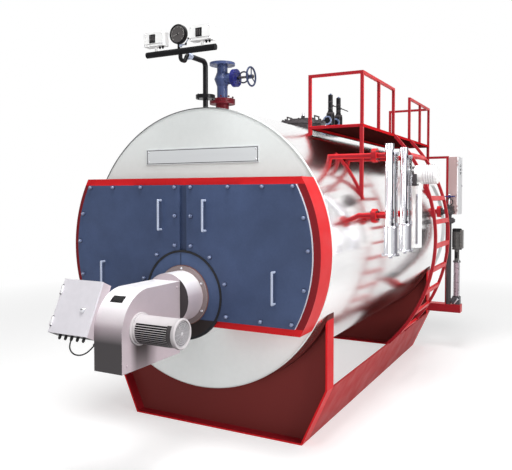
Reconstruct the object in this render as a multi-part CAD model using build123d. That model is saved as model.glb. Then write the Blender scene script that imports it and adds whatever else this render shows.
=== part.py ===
from build123d import *
import math
import os

# Horizontal fire-tube steam boiler on two saddles, with burner, steam fittings, platform, ladder,
# level columns, feed pump and control panel. Millimetres, +Z up, +X to the right seen from the
# burner end, +Y towards the rear. The origin is on the floor, under the middle of the front saddle.

# Boiler shell
SHELL_R = 1150.0
SHELL_LENGTH = 4100.0
SHELL_WALL = 80.0
SHELL_CLEAR = 410.0
END_PLATE = 25.0
SEAT = 0.2

# Saddles and sills
SADDLE_DEPTH = 140.0
SADDLE_INSET = 194.0
SADDLE_PLATE = 15.0
SADDLE_WEB_SETBACK = 95.0
KNEE_INSET = 111.0
FOOT_BATTER = 214.0
KNEE_Z = 468.0
SILL_PLATE = 15.0

# Front smoke box and its doors
BOX_DEPTH = 227.0
BOX_TOP = 570.0
BOX_BOTTOM = 585.0
BOX_FLANGE = 95.0
DOOR_MARGIN = 55.0
DOOR_THICK = 25.0
DOOR_SPLIT = 66.0
STRIP_LAP = 40.0
STRIP_THICK = 18.0
STRIP_FACE = 3.0

# Door handles
HANDLE_LENGTH = 250.0
HANDLE_R = 9.0
HANDLE_STAND = 45.0
UPPER_HANDLE_X = 208.0
UPPER_HANDLE_RISE = 278.0
LOWER_HANDLE_X = 800.0
LOWER_HANDLE_DROP = 240.0

# Burner drum and plate
BURNER_DROP = 350.0
DRUM_R = 354.0
GASKET_WIDTH = 18.0
GASKET_PROUD = 4.0

# Name plate
NAME_WIDTH = 1085.0
NAME_HEIGHT = 130.0
NAME_RISE = 757.0
NAME_THICK = 6.0

# Burner
BURNER_FLANGE_R = 232.0
BURNER_FLANGE_THICK = 18.0
DUCT_R = 195.0
DUCT_LENGTH = 197.0
HOUSING_LENGTH = 660.0
HOUSING_HALF = 119.0
HOUSING_RISE = 143.0
HOUSING_FALL = 395.0
HOUSING_ROUND = 283.0
MOTOR_BACK = 475.0
MOTOR_DROP = 122.0
MOTOR_FLANGE_R = 113.0
MOTOR_FLANGE_THICK = 14.0
MOTOR_R = 98.0
MOTOR_LENGTH = 262.0
COWL_R = 103.0
COWL_LENGTH = 78.0

# Burner control box, leaning back beside the housing
CTRL_LEAN = 25.7
CTRL_WIDTH = 345.0
CTRL_HEIGHT = 385.0
CTRL_DEPTH = 80.0
CTRL_WALL = 4.0
CTRL_DOOR = 15.0
CTRL_GAP = 0.5
CTRL_FORE = 78.0
CTRL_RISE = 152.0
GLAND_R = 11.0
GLAND_LENGTH = 30.0
GLAND_COUNT = 5
GLAND_PITCH = 54.0
GLAND_FIRST = 68.0

# Cabinet hinges: three knuckles on a pin, standing beside the cabinet
KNUCKLE_R = 7.0
KNUCKLE_LENGTH = 22.0
KNUCKLE_PLAY = 0.3
KNUCKLE_EDGE = 80.0
HINGE_PIN_R = 3.0
HINGE_FIT = 0.1
HINGE_LEAF = 4.0
HINGE_EDGE_GAP = 1.0

# Steam nozzle and stop valve, flanges to DN100 PN16
STEAM_Y = 355.0
STEAM_PIPE_R = 57.15
FLANGE_R = 110.0
FLANGE_THICK = 22.0
FLANGE_PCD = 180.0
FLANGE_HOLES = 8
FLANGE_HOLE_R = 9.0
FLANGE_GROOVE = 2.0
FLANGE_JOINT_R = 88.0
NOZZLE_NECK = 70.0
VALVE_HEIGHT = 312.0
VALVE_NECK_R = 46.0
VALVE_BULGE_R = 70.0
VALVE_BULGE_HALF = 62.0
STEM_RISE = 172.0
BRANCH_R = 48.0
BRANCH_LENGTH = 112.0
BONNET_R = 76.0
BONNET_THICK = 36.0
YOKE_RING_R = 46.0
YOKE_BAR_R = 6.5
YOKE_BOSS = 16.0
YOKE_BOSS_R = 15.0
STEM_R = 9.0
WHEEL_R = 78.0
WHEEL_RIM = 8.0
WHEEL_HUB_R = 18.0
WHEEL_HUB_LENGTH = 22.0
WHEEL_SPOKES = 3
SPOKE_R = 5.0
WHEEL_FIT = 0.1
WHEEL_PLAY = 0.3
NUT_R = 14.0
NUT_LENGTH = 10.0

# Pressure gauge stand
GAUGE_Y = 83.0
RISER_R = 21.2
RISER_NECK = 80.0
RISER_FLANGE_R = 80.0
RISER_FLANGE_THICK = 32.0
RISER_TOP = 385.0
RISER_BEND = 40.0
SIPHON_R = 16.0
SIPHON_DIP = 52.0
SIPHON_SPAN = 120.0
SIPHON_BEND = 24.0
MANIFOLD_REACH = 358.0
MANIFOLD_LENGTH = 640.0
MANIFOLD_R = 24.0
GAUGE_R = 75.0
GAUGE_DEPTH = 26.0
GAUGE_RISE = 132.0
GAUGE_STEM_R = 10.0
GAUGE_SHIFT = 15.0
SWITCH_WIDTH = 186.0
SWITCH_HEIGHT = 108.0
SWITCH_DEPTH = 75.0
SWITCH_RISE = 58.0
SWITCH_SPREAD = 216.0

# Manhole and safety valves on the crown
MANHOLE_Y = 2110.0
MANHOLE_NECK_R = 205.0
MANHOLE_COVER_R = 250.0
MANHOLE_RISE = 70.0
MANHOLE_COVER = 34.0
MANHOLE_BRIDGE = 42.0
MANHOLE_BRIDGE_HALF = 123.0
SAFETY_Y = 2965.0
SAFETY_PITCH = 286.0
SAFETY_NECK_R = 36.0
SAFETY_NECK = 90.0
SAFETY_FLANGE_R = 76.0
SAFETY_FLANGE = 34.0
SAFETY_BODY_R = 52.0
SAFETY_BODY = 160.0
SAFETY_CAP_R = 29.0
SAFETY_CAP = 245.0
SAFETY_OUTLET_R = 38.0
SAFETY_OUTLET = 110.0

# Platform, brackets and railings
PLATFORM_WIDTH = 514.0
PLATFORM_INSET = 70.0
PLATFORM_Y0 = 920.0
PLATFORM_Y1 = 3606.0
PLATFORM_LIFT = 30.0
PLATFORM_FRAME = 22.0
PLATFORM_BAR = 30.0
PLATFORM_FLOOR = 4.0
RAIL_HEIGHT = 462.0
RAIL_BAR = 26.0
NEAR_POST_Y = 1420.0
GATE_Y0 = 1935.0
GATE_Y1 = 2600.0
FAR_POST_Y = 3105.0
BRACKET_BAR_RISE = 776.0
BRACKET_PAD = 12.0
BRACKET_PAD_LAP = 2.0

# Ladder, bent round the shell
LADDER_FOOT = 11.0
LADDER_BAR = 30.0
RUNG_COUNT = 9
RUNG_HEAD = 260.0
RUNG_FOOT = 186.0
RUNG_HEIGHT = 46.0
RUNG_DEPTH = 26.0

# Water level columns
COLUMN_STAND = 242.0
COLUMN_Y = (700.0, 1165.0)
CONTROLLER_Y = 1610.0
COLUMN_DROP = 60.0
COLUMN_RISE = 855.0
CHAMBER_R = 56.0
CHAMBER_RISE = 182.0
TUBE_R = 33.0
TUBE_BACK = 15.0
TUBE_CAP = 50.0
TUBE_CAP_LIP = 4.0
GLASS_R = 16.0
GLASS_FORE = 40.0
GLASS_HEAD = 70.0
GLASS_COCK_DROP = 30.0
GLASS_COCK_R = 9.6
PIPE_LOW_RISE = 265.0
PIPE_HIGH_RISE = 762.0
LEVEL_PIPE_R = 21.2
LEVEL_FLANGE_R = 58.0
LEVEL_FLANGE_THICK = 40.0
LEVEL_FLANGE_BACK = 120.0
CONTROLLER_R = 47.0
CONTROLLER_LIP = 8.0
CONTROLLER_RISE = 498.0
HEAD_R = 88.0
HEAD_LENGTH = 200.0
HEAD_BACK = 9.0
HEAD_END_R = 78.0
HEAD_END = 62.0
HEAD_FOOT = 44.0

# Feed pump stand and control panel
BEAM_RISE = 87.0
BEAM_HEIGHT = 100.0
BEAM_WIDTH = 140.0
BEAM_REACH = 297.0
POST_STAND = 102.0
POST_BACK = 52.0
POST_BAR = 30.0
POST_RISE = 936.0
PUMP_PITCH = 92.0
PUMP_BASE = 96.0
PUMP_BASE_HEIGHT = 96.0
PUMP_SLEEVE_R = 36.0
PUMP_SLEEVE = 449.0
PUMP_LANTERN_R = 30.0
PUMP_LANTERN = 158.0
PUMP_MOTOR_R = 54.0
PUMP_MOTOR = 258.0
PUMP_TERMINAL = 22.0
PUMP_TERMINAL_HALF = 38.0
PUMP_TERMINAL_RISE = 116.0
FEED_STAND = 146.0
FEED_FORE = 39.8
FEED_PIPE_R = 30.15
FEED_NOZZLE_RISE = 225.0
FEED_NECK = 22.0
FEED_FLANGE_R = 72.0
FEED_FLANGE_THICK = 44.0
FEED_FLANGE_DROP = 112.0
FEED_VALVE_R = 52.0
FEED_BONNET_NECK_R = 36.0
FEED_BONNET_R = 50.0
FEED_BONNET_THICK = 14.0
FEED_RING_R = 42.0
FEED_WHEEL_R = 65.0
FEED_WHEEL_RIM = 6.0
PANEL_DEPTH = 105.0
PANEL_WIDTH = 305.0
PANEL_HEIGHT = 735.0
PANEL_DROP = 12.0
PANEL_WALL = 4.0
PANEL_DOOR = 15.0
PANEL_GAP = 0.5
PANEL_LEAD = 15.0
BUTTON_R = 12.0
BUTTON_PROUD = 8.0
BUTTON_PITCH = 48.0
BUTTON_DROP = 110.0
BUTTON_COUNT = 3

# Rear smoke box and flue outlet
REAR_BOX_DEPTH = 200.0
REAR_COVER = 20.0
FLUE_R = 260.0
FLUE_WALL = 8.0
FLUE_LENGTH = 120.0
FLUE_FLANGE_R = 310.0
FLUE_FLANGE = 12.0
FLUE_RISE = 180.0

# Cable between the burner control box and the burner housing
CABLE_R = 5.0
CABLE_LEAD = 34.0
CABLE_GLAND = 2
CABLE_BEND_SHARE = 0.45
HOUSING_GLAND_REACH = 60.0

# Places worked out from the sizes above
AXIS_Z = SHELL_CLEAR + SHELL_R
KNEE_HALF = SHELL_R - KNEE_INSET
FOOT_HALF = KNEE_HALF - FOOT_BATTER
PLATFORM_OUTER = SHELL_R - PLATFORM_INSET
PLATFORM_INNER = PLATFORM_OUTER - PLATFORM_WIDTH
LADDER_R = math.hypot(KNEE_HALF - LADDER_FOOT, AXIS_Z - KNEE_Z)
FRONT_Y = -(SADDLE_INSET + SADDLE_DEPTH / 2)
REAR_Y = FRONT_Y + SHELL_LENGTH
REAR_SADDLE_Y = REAR_Y - SADDLE_INSET - SADDLE_DEPTH / 2
BOX_FACE_Y = FRONT_Y - BOX_DEPTH
DOOR_FACE_Y = BOX_FACE_Y - DOOR_THICK
BURNER_Z = AXIS_Z - BURNER_DROP
HOUSING_REAR_Y = DOOR_FACE_Y - BURNER_FLANGE_THICK - DUCT_LENGTH
HOUSING_FRONT_Y = HOUSING_REAR_Y - HOUSING_LENGTH
MOTOR_Y = HOUSING_REAR_Y - MOTOR_BACK
MOTOR_Z = BURNER_Z - MOTOR_DROP
CROWN_Z = AXIS_Z + SHELL_R
BORE_R = SHELL_R + SEAT
COLUMN_X = SHELL_R + COLUMN_STAND
COLUMN_FOOT_Z = AXIS_Z - COLUMN_DROP
COLUMN_TOP_Z = AXIS_Z + COLUMN_RISE
CHAMBER_TOP_Z = AXIS_Z + CHAMBER_RISE
CONTROLLER_TOP_Z = AXIS_Z + CONTROLLER_RISE
FEED_X = SHELL_R + FEED_STAND
FEED_NOZZLE_Z = AXIS_Z + FEED_NOZZLE_RISE
PUMP_X = FEED_X + PUMP_PITCH
POST_X = SHELL_R + POST_STAND
POST_TOP_Z = AXIS_Z + POST_RISE


def shell_height(x, r=BORE_R):
    """Height of the shell's upper side above its axis at a distance x from the middle."""
    return math.sqrt(r * r - x * x)


def block(x0, x1, y0, y1, z0, z1):
    size = Box(x1 - x0, y1 - y0, z1 - z0)
    return Pos((x0 + x1) / 2, (y0 + y1) / 2, (z0 + z1) / 2) * size


def rod_z(x, y, z0, z1, r):
    return Pos(x, y, (z0 + z1) / 2) * Cylinder(r, z1 - z0)


def rod_x(x0, x1, y, z, r):
    return Pos((x0 + x1) / 2, y, z) * Rot(0, 90, 0) * Cylinder(r, x1 - x0)


def rod_y(x, y0, y1, z, r):
    return Pos(x, (y0 + y1) / 2, z) * Rot(90, 0, 0) * Cylinder(r, y1 - y0)


def plate_y(face, y0, y1):
    """Extrude a face drawn in front view (X across, Z up) between two places along Y."""
    return extrude(Plane.XZ.offset(-y1) * face, y1 - y0)


def shell_bore(y0, y1, r=BORE_R):
    return rod_y(0, y0, y1, AXIS_Z, r)


def crown_neck(y, z1, r):
    """A neck standing on the crown, its foot cut to the shell's round."""
    return rod_z(0, y, AXIS_Z, z1, r) - shell_bore(y - SHELL_R, y + SHELL_R)


NODES = {}


def node(name, *solids):
    NODES[name] = solids[0] if len(solids) == 1 else Compound(children=list(solids))


# Boiler shell and its end plates
jacket_y0 = FRONT_Y + END_PLATE
jacket_y1 = REAR_Y - END_PLATE
node("shell_jacket", shell_bore(jacket_y0, jacket_y1, SHELL_R)
     - shell_bore(jacket_y0, jacket_y1, SHELL_R - SHELL_WALL))
node("front_end_plate", shell_bore(FRONT_Y, jacket_y0, SHELL_R))
node("rear_end_plate", shell_bore(jacket_y1, REAR_Y, SHELL_R))


# Smoke boxes: round sides with a flat top and bottom
def box_outline(inset, z_top=BOX_TOP, z_bottom=BOX_BOTTOM):
    top = AXIS_Z + z_top - inset
    bottom = AXIS_Z - z_bottom + inset
    disc = Pos(0, AXIS_Z) * Circle(SHELL_R - inset)
    band = Pos(0, (top + bottom) / 2) * Rectangle(2 * SHELL_R, top - bottom)
    return disc & band


drum_hole = Pos(0, BURNER_Z) * Circle(DRUM_R)
node("smoke_box", plate_y(box_outline(0) - box_outline(BOX_FLANGE) - drum_hole, BOX_FACE_Y, FRONT_Y))

strip_half = DOOR_SPLIT / 2 + STRIP_LAP
strip_band = Pos(0, AXIS_Z) * Rectangle(2 * strip_half, 2 * SHELL_R)
strip = plate_y((box_outline(BOX_FLANGE) & strip_band) - drum_hole, BOX_FACE_Y, BOX_FACE_Y + STRIP_THICK)
split_fill = Pos(0, AXIS_Z) * Rectangle(DOOR_SPLIT - 2 * SEAT, 2 * SHELL_R)
strip += plate_y((box_outline(DOOR_MARGIN) & split_fill) - drum_hole, BOX_FACE_Y - STRIP_FACE, BOX_FACE_Y)
node("door_centre_strip", strip)

split_band = Pos(0, AXIS_Z) * Rectangle(DOOR_SPLIT, 2 * SHELL_R)
door_pair = box_outline(DOOR_MARGIN) - split_band - drum_hole
for side, name in ((-1, "left_smoke_door"), (1, "right_smoke_door")):
    half = Pos(side * SHELL_R / 2, AXIS_Z) * Rectangle(SHELL_R, 2 * SHELL_R)
    node(name, plate_y(door_pair & half, DOOR_FACE_Y, BOX_FACE_Y))


# Handles: a bar on two feet, standing off the door
def handle(x, z_mid):
    z0 = z_mid - HANDLE_LENGTH / 2 + HANDLE_R
    z1 = z_mid + HANDLE_LENGTH / 2 - HANDLE_R
    y_bar = DOOR_FACE_Y - HANDLE_STAND
    bar = rod_z(x, y_bar, z0, z1, HANDLE_R)
    for z in (z0, z1):
        bar += rod_y(x, y_bar, DOOR_FACE_Y, z, HANDLE_R)
        bar += Pos(x, y_bar, z) * Sphere(HANDLE_R)
    return bar


handles = []
for side in (-1, 1):
    handles.append(handle(side * UPPER_HANDLE_X, AXIS_Z + UPPER_HANDLE_RISE))
    handles.append(handle(side * LOWER_HANDLE_X, AXIS_Z - LOWER_HANDLE_DROP))
node("door_handles", *handles)

# Burner drum through the smoke box, its plate and gasket
plate_r = DRUM_R - GASKET_WIDTH
node("burner_drum", rod_y(0, BOX_FACE_Y, FRONT_Y, BURNER_Z, DRUM_R))
node("burner_plate", rod_y(0, DOOR_FACE_Y, BOX_FACE_Y, BURNER_Z, plate_r))
gasket_ring = Pos(0, BURNER_Z) * (Circle(DRUM_R) - Circle(plate_r))
node("burner_gasket", plate_y(gasket_ring, DOOR_FACE_Y - GASKET_PROUD, BOX_FACE_Y))

# Bare name plate on the front end plate
name_z = AXIS_Z + NAME_RISE
node("name_plate", block(-NAME_WIDTH / 2, NAME_WIDTH / 2, FRONT_Y - NAME_THICK, FRONT_Y,
                         name_z - NAME_HEIGHT / 2, name_z + NAME_HEIGHT / 2))

# Burner duct with its flange
flange_y = DOOR_FACE_Y - BURNER_FLANGE_THICK
node("burner_duct", rod_y(0, flange_y, DOOR_FACE_Y, BURNER_Z, BURNER_FLANGE_R)
     + rod_y(0, HOUSING_REAR_Y, flange_y, BURNER_Z, DUCT_R))

# Burner housing: a flat-sided fan case with a round upper front
housing_top = BURNER_Z + HOUSING_RISE
housing_bottom = BURNER_Z - HOUSING_FALL
housing_box = block(-HOUSING_HALF, HOUSING_HALF, HOUSING_FRONT_Y, HOUSING_REAR_Y, housing_bottom, housing_top)
front_edge = housing_box.edges().filter_by(Axis.X).group_by(Axis.Y)[0].sort_by(Axis.Z)[-1]
node("burner_housing", fillet(front_edge, HOUSING_ROUND))

# Fan motor on the right of the housing
motor_x0 = HOUSING_HALF + MOTOR_FLANGE_THICK
motor_x1 = motor_x0 + MOTOR_LENGTH
node("burner_motor", rod_x(HOUSING_HALF, motor_x0, MOTOR_Y, MOTOR_Z, MOTOR_FLANGE_R)
     + rod_x(motor_x0, motor_x1, MOTOR_Y, MOTOR_Z, MOTOR_R))
node("motor_fan_cowl", rod_x(motor_x1, motor_x1 + COWL_LENGTH, MOTOR_Y, MOTOR_Z, COWL_R))


# Cabinets: an open case with an overlapping door, hinged on the left. Drawn with the door's outer
# face at y = 0, the depth along +Y and the hinge side at x = 0.
def hinge_axis(door_thick):
    return -KNUCKLE_R, door_thick - KNUCKLE_R


def cabinet(width, depth, height, wall, door_thick, gap):
    y0 = door_thick + gap
    y1 = y0 + depth
    case = block(0, width, y0, y1, 0, height)
    case -= block(wall, width - wall, y0, y1 - wall, wall, height - wall)
    door = block(HINGE_EDGE_GAP, width, 0, door_thick, 0, height)
    hx, hy = hinge_axis(door_thick)
    step = KNUCKLE_LENGTH + KNUCKLE_PLAY
    for z_mid in (KNUCKLE_EDGE, height - KNUCKLE_EDGE):
        for place in (-1, 1):
            z0 = z_mid + place * step - KNUCKLE_LENGTH / 2
            z1 = z0 + KNUCKLE_LENGTH
            case += rod_z(hx, hy, z0, z1, KNUCKLE_R)
            case += block(hx - HINGE_LEAF / 2, hx + HINGE_LEAF / 2, hy, y0 + 2 * KNUCKLE_R, z0, z1)
            case += block(hx - HINGE_LEAF / 2, 0, y0 + 2 * KNUCKLE_R - HINGE_LEAF, y0 + 2 * KNUCKLE_R, z0, z1)
        case += rod_z(hx, hy, z_mid - step, z_mid + step, HINGE_PIN_R)
        z0 = z_mid - KNUCKLE_LENGTH / 2
        z1 = z0 + KNUCKLE_LENGTH
        eye = rod_z(hx, hy, z0, z1, KNUCKLE_R)
        eye += block(hx, HINGE_EDGE_GAP, hy - HINGE_LEAF / 2, hy + HINGE_LEAF / 2, z0, z1)
        door += eye - rod_z(hx, hy, z0, z1, HINGE_PIN_R + HINGE_FIT)
    return case, door


# Burner control box, leaning back against the left of the housing
ctrl_foot = (-HOUSING_HALF - CTRL_WIDTH, HOUSING_FRONT_Y - CTRL_FORE, BURNER_Z - CTRL_RISE)
ctrl_place = Pos(*ctrl_foot) * Rot(-CTRL_LEAN, 0, 0)
ctrl_case, ctrl_door = cabinet(CTRL_WIDTH, CTRL_DEPTH, CTRL_HEIGHT, CTRL_WALL, CTRL_DOOR, CTRL_GAP)
node("control_box_case", ctrl_place * ctrl_case)
node("control_box_door", ctrl_place * ctrl_door)

gland_y = CTRL_DOOR + CTRL_GAP + CTRL_DEPTH / 2
glands = []
for i in range(GLAND_COUNT):
    x = GLAND_FIRST + i * GLAND_PITCH
    glands.append(ctrl_place * rod_z(x, gland_y, -GLAND_LENGTH, 0, GLAND_R))
node("cable_glands", *glands)

# Saddles: a flanged plate cut to the shell
saddle_top = AXIS_Z - shell_height(KNEE_HALF) + SADDLE_PLATE
saddle_half = [(FOOT_HALF, 0), (KNEE_HALF, KNEE_Z), (KNEE_HALF, saddle_top)]
saddle_points = saddle_half + [(-x, z) for x, z in reversed(saddle_half)]
saddle_face = make_face(Polyline(*saddle_points, close=True))
saddle_inner = offset(saddle_face, -SADDLE_PLATE, kind=Kind.INTERSECTION)
bore_disc = Pos(0, AXIS_Z) * Circle(BORE_R)
lined_disc = Pos(0, AXIS_Z) * Circle(BORE_R + SADDLE_PLATE)


def saddle(y_mid):
    y0 = y_mid - SADDLE_DEPTH / 2
    y1 = y_mid + SADDLE_DEPTH / 2
    web_y = y0 + SADDLE_WEB_SETBACK
    whole = plate_y(saddle_face - bore_disc, y0, y1)
    pocket = saddle_inner - lined_disc
    return whole - plate_y(pocket, y0, web_y) - plate_y(pocket, web_y + SADDLE_PLATE, y1)


node("front_saddle", saddle(0))
node("rear_saddle", saddle(REAR_SADDLE_Y))

# Sloping side sills between the saddles
sill_lean = math.atan2(KNEE_HALF - FOOT_HALF, KNEE_Z)
sill_width = SILL_PLATE / math.cos(sill_lean)
sills = []
for side in (-1, 1):
    outline = [(FOOT_HALF, 0), (KNEE_HALF, KNEE_Z),
               (KNEE_HALF - sill_width, KNEE_Z), (FOOT_HALF - sill_width, 0)]
    face = make_face(Polyline(*[(side * x, z) for x, z in outline], close=True))
    sills.append(plate_y(face, SADDLE_DEPTH / 2, REAR_SADDLE_Y - SADDLE_DEPTH / 2))
node("side_sills", *sills)

# Steam nozzle with its pair of flanges
steam_y = FRONT_Y + STEAM_Y
pair_z0 = CROWN_Z + NOZZLE_NECK
pair_z1 = pair_z0 + 2 * FLANGE_THICK
groove_z0 = pair_z0 + FLANGE_THICK - FLANGE_GROOVE / 2
groove_z1 = groove_z0 + FLANGE_GROOVE
nozzle = crown_neck(steam_y, pair_z0, STEAM_PIPE_R)
nozzle += rod_z(0, steam_y, pair_z0, groove_z0, FLANGE_R)
nozzle += rod_z(0, steam_y, groove_z0, groove_z1, FLANGE_JOINT_R)
nozzle += rod_z(0, steam_y, groove_z1, pair_z1, FLANGE_R)
node("steam_nozzle", nozzle)

# Stop valve: a bulging body with an outlet flange on top and a branch towards +X
valve_z1 = pair_z1 + VALVE_HEIGHT
flange_z = valve_z1 - FLANGE_THICK
stem_z = pair_z1 + STEM_RISE
valve = rod_z(0, steam_y, pair_z1, flange_z, VALVE_NECK_R)
bulge = Cone(VALVE_NECK_R, VALVE_BULGE_R, VALVE_BULGE_HALF)
for side in (-1, 1):
    turn = Rot(90 + 90 * side, 0, 0)
    valve += Pos(0, steam_y, stem_z + side * VALVE_BULGE_HALF / 2) * turn * bulge
valve += rod_z(0, steam_y, flange_z, valve_z1, FLANGE_R)
valve += rod_x(0, BRANCH_LENGTH, steam_y, stem_z, BRANCH_R)
for i in range(FLANGE_HOLES):
    turn = math.radians((i + 0.5) * 360 / FLANGE_HOLES)
    x = FLANGE_PCD / 2 * math.cos(turn)
    y = FLANGE_PCD / 2 * math.sin(turn)
    valve -= rod_z(x, steam_y + y, flange_z, valve_z1, FLANGE_HOLE_R)
node("steam_valve_body", valve)

# Valve tops: a ring yoke with the stem through it, and a wheel kept by a nut
def yoke(ring_r):
    """A ring yoke about the Z axis, standing on z = 0, with its stem, and the height of the wheel's hub."""
    top = 2 * (YOKE_BOSS + ring_r)
    hub_z = top + WHEEL_PLAY
    nut_z = hub_z + WHEEL_HUB_LENGTH + WHEEL_PLAY
    solid = Pos(0, 0, YOKE_BOSS + ring_r) * Rot(90, 0, 0) * Torus(ring_r, YOKE_BAR_R)
    solid += rod_z(0, 0, 0, YOKE_BOSS, YOKE_BOSS_R)
    solid += rod_z(0, 0, top - YOKE_BOSS, top, YOKE_BOSS_R)
    solid += rod_z(0, 0, 0, nut_z, STEM_R)
    solid += rod_z(0, 0, nut_z, nut_z + NUT_LENGTH, NUT_R)
    return solid, hub_z


def handwheel(rim_r, rim_bar, hub_r, hub_length, bore_r):
    """A spoked wheel about the Z axis, its hub running from z = 0 up."""
    mid = hub_length / 2
    wheel = rod_z(0, 0, 0, hub_length, hub_r)
    for i in range(WHEEL_SPOKES):
        turn = (i + 0.5) * 360 / WHEEL_SPOKES
        wheel += Rot(0, 0, turn) * rod_x(hub_r / 2, rim_r, 0, mid, SPOKE_R)
    wheel += Pos(0, 0, mid) * Torus(rim_r, rim_bar)
    return wheel - rod_z(0, 0, 0, hub_length, bore_r)


bonnet_x1 = BRANCH_LENGTH + BONNET_THICK
stem_place = Pos(bonnet_x1, steam_y, stem_z) * Rot(0, 90, 0)
steam_yoke, steam_hub = yoke(YOKE_RING_R)
bonnet = rod_x(BRANCH_LENGTH, bonnet_x1, steam_y, stem_z, BONNET_R)
node("steam_valve_bonnet", bonnet + stem_place * steam_yoke)
steam_wheel = handwheel(WHEEL_R, WHEEL_RIM, WHEEL_HUB_R, WHEEL_HUB_LENGTH, STEM_R + WHEEL_FIT)
node("steam_valve_wheel", stem_place * Pos(0, 0, steam_hub) * steam_wheel)

# Gauge riser: a flanged pipe that turns to the front and dips in a siphon under the manifold
riser_y = FRONT_Y + GAUGE_Y
riser_flange_z = CROWN_Z + RISER_NECK
riser_top_z = CROWN_Z + RISER_TOP
manifold_y = riser_y - MANIFOLD_REACH
manifold_z = riser_top_z + MANIFOLD_R / 2
dip_z = riser_top_z - SIPHON_DIP
half_manifold = MANIFOLD_LENGTH / 2
manifold_bore = rod_x(-half_manifold, half_manifold, manifold_y, manifold_z, MANIFOLD_R + SEAT)
run_y = manifold_y + SIPHON_SPAN
riser_path = FilletPolyline((0, riser_y, riser_flange_z), (0, riser_y, riser_top_z), (0, run_y, riser_top_z),
                            radius=RISER_BEND)
siphon_path = FilletPolyline((0, run_y + SIPHON_BEND, riser_top_z), (0, run_y - SIPHON_SPAN / 4, riser_top_z),
                             (0, run_y - SIPHON_SPAN / 2, dip_z), (0, manifold_y, dip_z),
                             (0, manifold_y, manifold_z), radius=SIPHON_BEND)
riser = sweep(Plane(origin=riser_path @ 0, z_dir=riser_path % 0) * Circle(RISER_R), path=riser_path)
riser += sweep(Plane(origin=siphon_path @ 0, z_dir=siphon_path % 0) * Circle(SIPHON_R), path=siphon_path)
riser += rod_z(0, riser_y, riser_flange_z, riser_flange_z + RISER_FLANGE_THICK, RISER_FLANGE_R)
riser += crown_neck(riser_y, riser_flange_z, RISER_R)
node("gauge_riser", riser - manifold_bore)

node("gauge_manifold", rod_x(-half_manifold, half_manifold, manifold_y, manifold_z, MANIFOLD_R))

# Gauge and switches, each on a stem over the manifold
gauge_z = manifold_z + GAUGE_RISE
gauge = rod_y(-GAUGE_SHIFT, manifold_y - GAUGE_DEPTH / 2, manifold_y + GAUGE_DEPTH / 2, gauge_z, GAUGE_R)
gauge += rod_z(-GAUGE_SHIFT, manifold_y, manifold_z, gauge_z, GAUGE_STEM_R)
node("pressure_gauge", gauge - manifold_bore)
switches = []
for side in (-1, 1):
    x = side * SWITCH_SPREAD - GAUGE_SHIFT
    z0 = manifold_z + SWITCH_RISE
    switch = block(x - SWITCH_WIDTH / 2, x + SWITCH_WIDTH / 2, manifold_y - SWITCH_DEPTH / 2,
                   manifold_y + SWITCH_DEPTH / 2, z0, z0 + SWITCH_HEIGHT)
    switch += rod_z(x, manifold_y, manifold_z, z0, GAUGE_STEM_R)
    switches.append(switch - manifold_bore)
node("pressure_switches", *switches)

# Manhole on the crown
manhole_y = FRONT_Y + MANHOLE_Y
cover_z = CROWN_Z + MANHOLE_RISE
manhole = crown_neck(manhole_y, cover_z, MANHOLE_NECK_R)
manhole += rod_z(0, manhole_y, cover_z, cover_z + MANHOLE_COVER, MANHOLE_COVER_R)
bridge_z = cover_z + MANHOLE_COVER
manhole += block(-MANHOLE_BRIDGE_HALF, MANHOLE_BRIDGE_HALF, manhole_y - MANHOLE_BRIDGE / 2,
                 manhole_y + MANHOLE_BRIDGE / 2, bridge_z, bridge_z + MANHOLE_BRIDGE)
node("manhole", manhole)


# Spring safety valves with an outlet towards the front
def safety_valve(y):
    z1 = CROWN_Z + SAFETY_NECK
    z2 = z1 + SAFETY_FLANGE
    z3 = z2 + SAFETY_BODY
    solid = crown_neck(y, z1, SAFETY_NECK_R)
    solid += rod_z(0, y, z1, z2, SAFETY_FLANGE_R)
    solid += rod_z(0, y, z2, z3, SAFETY_BODY_R)
    solid += rod_z(0, y, z3, z3 + SAFETY_CAP, SAFETY_CAP_R)
    solid += rod_y(0, y - SAFETY_OUTLET, y, (z2 + z3) / 2, SAFETY_OUTLET_R)
    return solid


safety_y = FRONT_Y + SAFETY_Y
node("safety_valves", safety_valve(safety_y), safety_valve(safety_y + SAFETY_PITCH))

# Platform over the right shoulder of the shell, held clear of it by a leg under each inner corner
frame_z0 = AXIS_Z + shell_height(PLATFORM_INNER) + PLATFORM_LIFT
frame_z1 = frame_z0 + PLATFORM_FRAME
floor_z = frame_z1 + PLATFORM_FLOOR
plat_y0 = FRONT_Y + PLATFORM_Y0
plat_y1 = FRONT_Y + PLATFORM_Y1
node("platform_floor", block(PLATFORM_INNER, PLATFORM_OUTER, plat_y0, plat_y1, frame_z1, floor_z))
frame = block(PLATFORM_INNER, PLATFORM_OUTER, plat_y0, plat_y1, frame_z0, frame_z1)
frame -= block(PLATFORM_INNER + PLATFORM_BAR, PLATFORM_OUTER - PLATFORM_BAR,
               plat_y0 + PLATFORM_BAR, plat_y1 - PLATFORM_BAR, frame_z0, frame_z1)
for y0 in (plat_y0, plat_y1 - PLATFORM_BAR):
    y1 = y0 + PLATFORM_BAR
    leg = block(PLATFORM_INNER, PLATFORM_INNER + PLATFORM_BAR, y0, y1, AXIS_Z, frame_z0)
    frame += leg - shell_bore(y0, y1)
node("platform_frame", frame)

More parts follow.
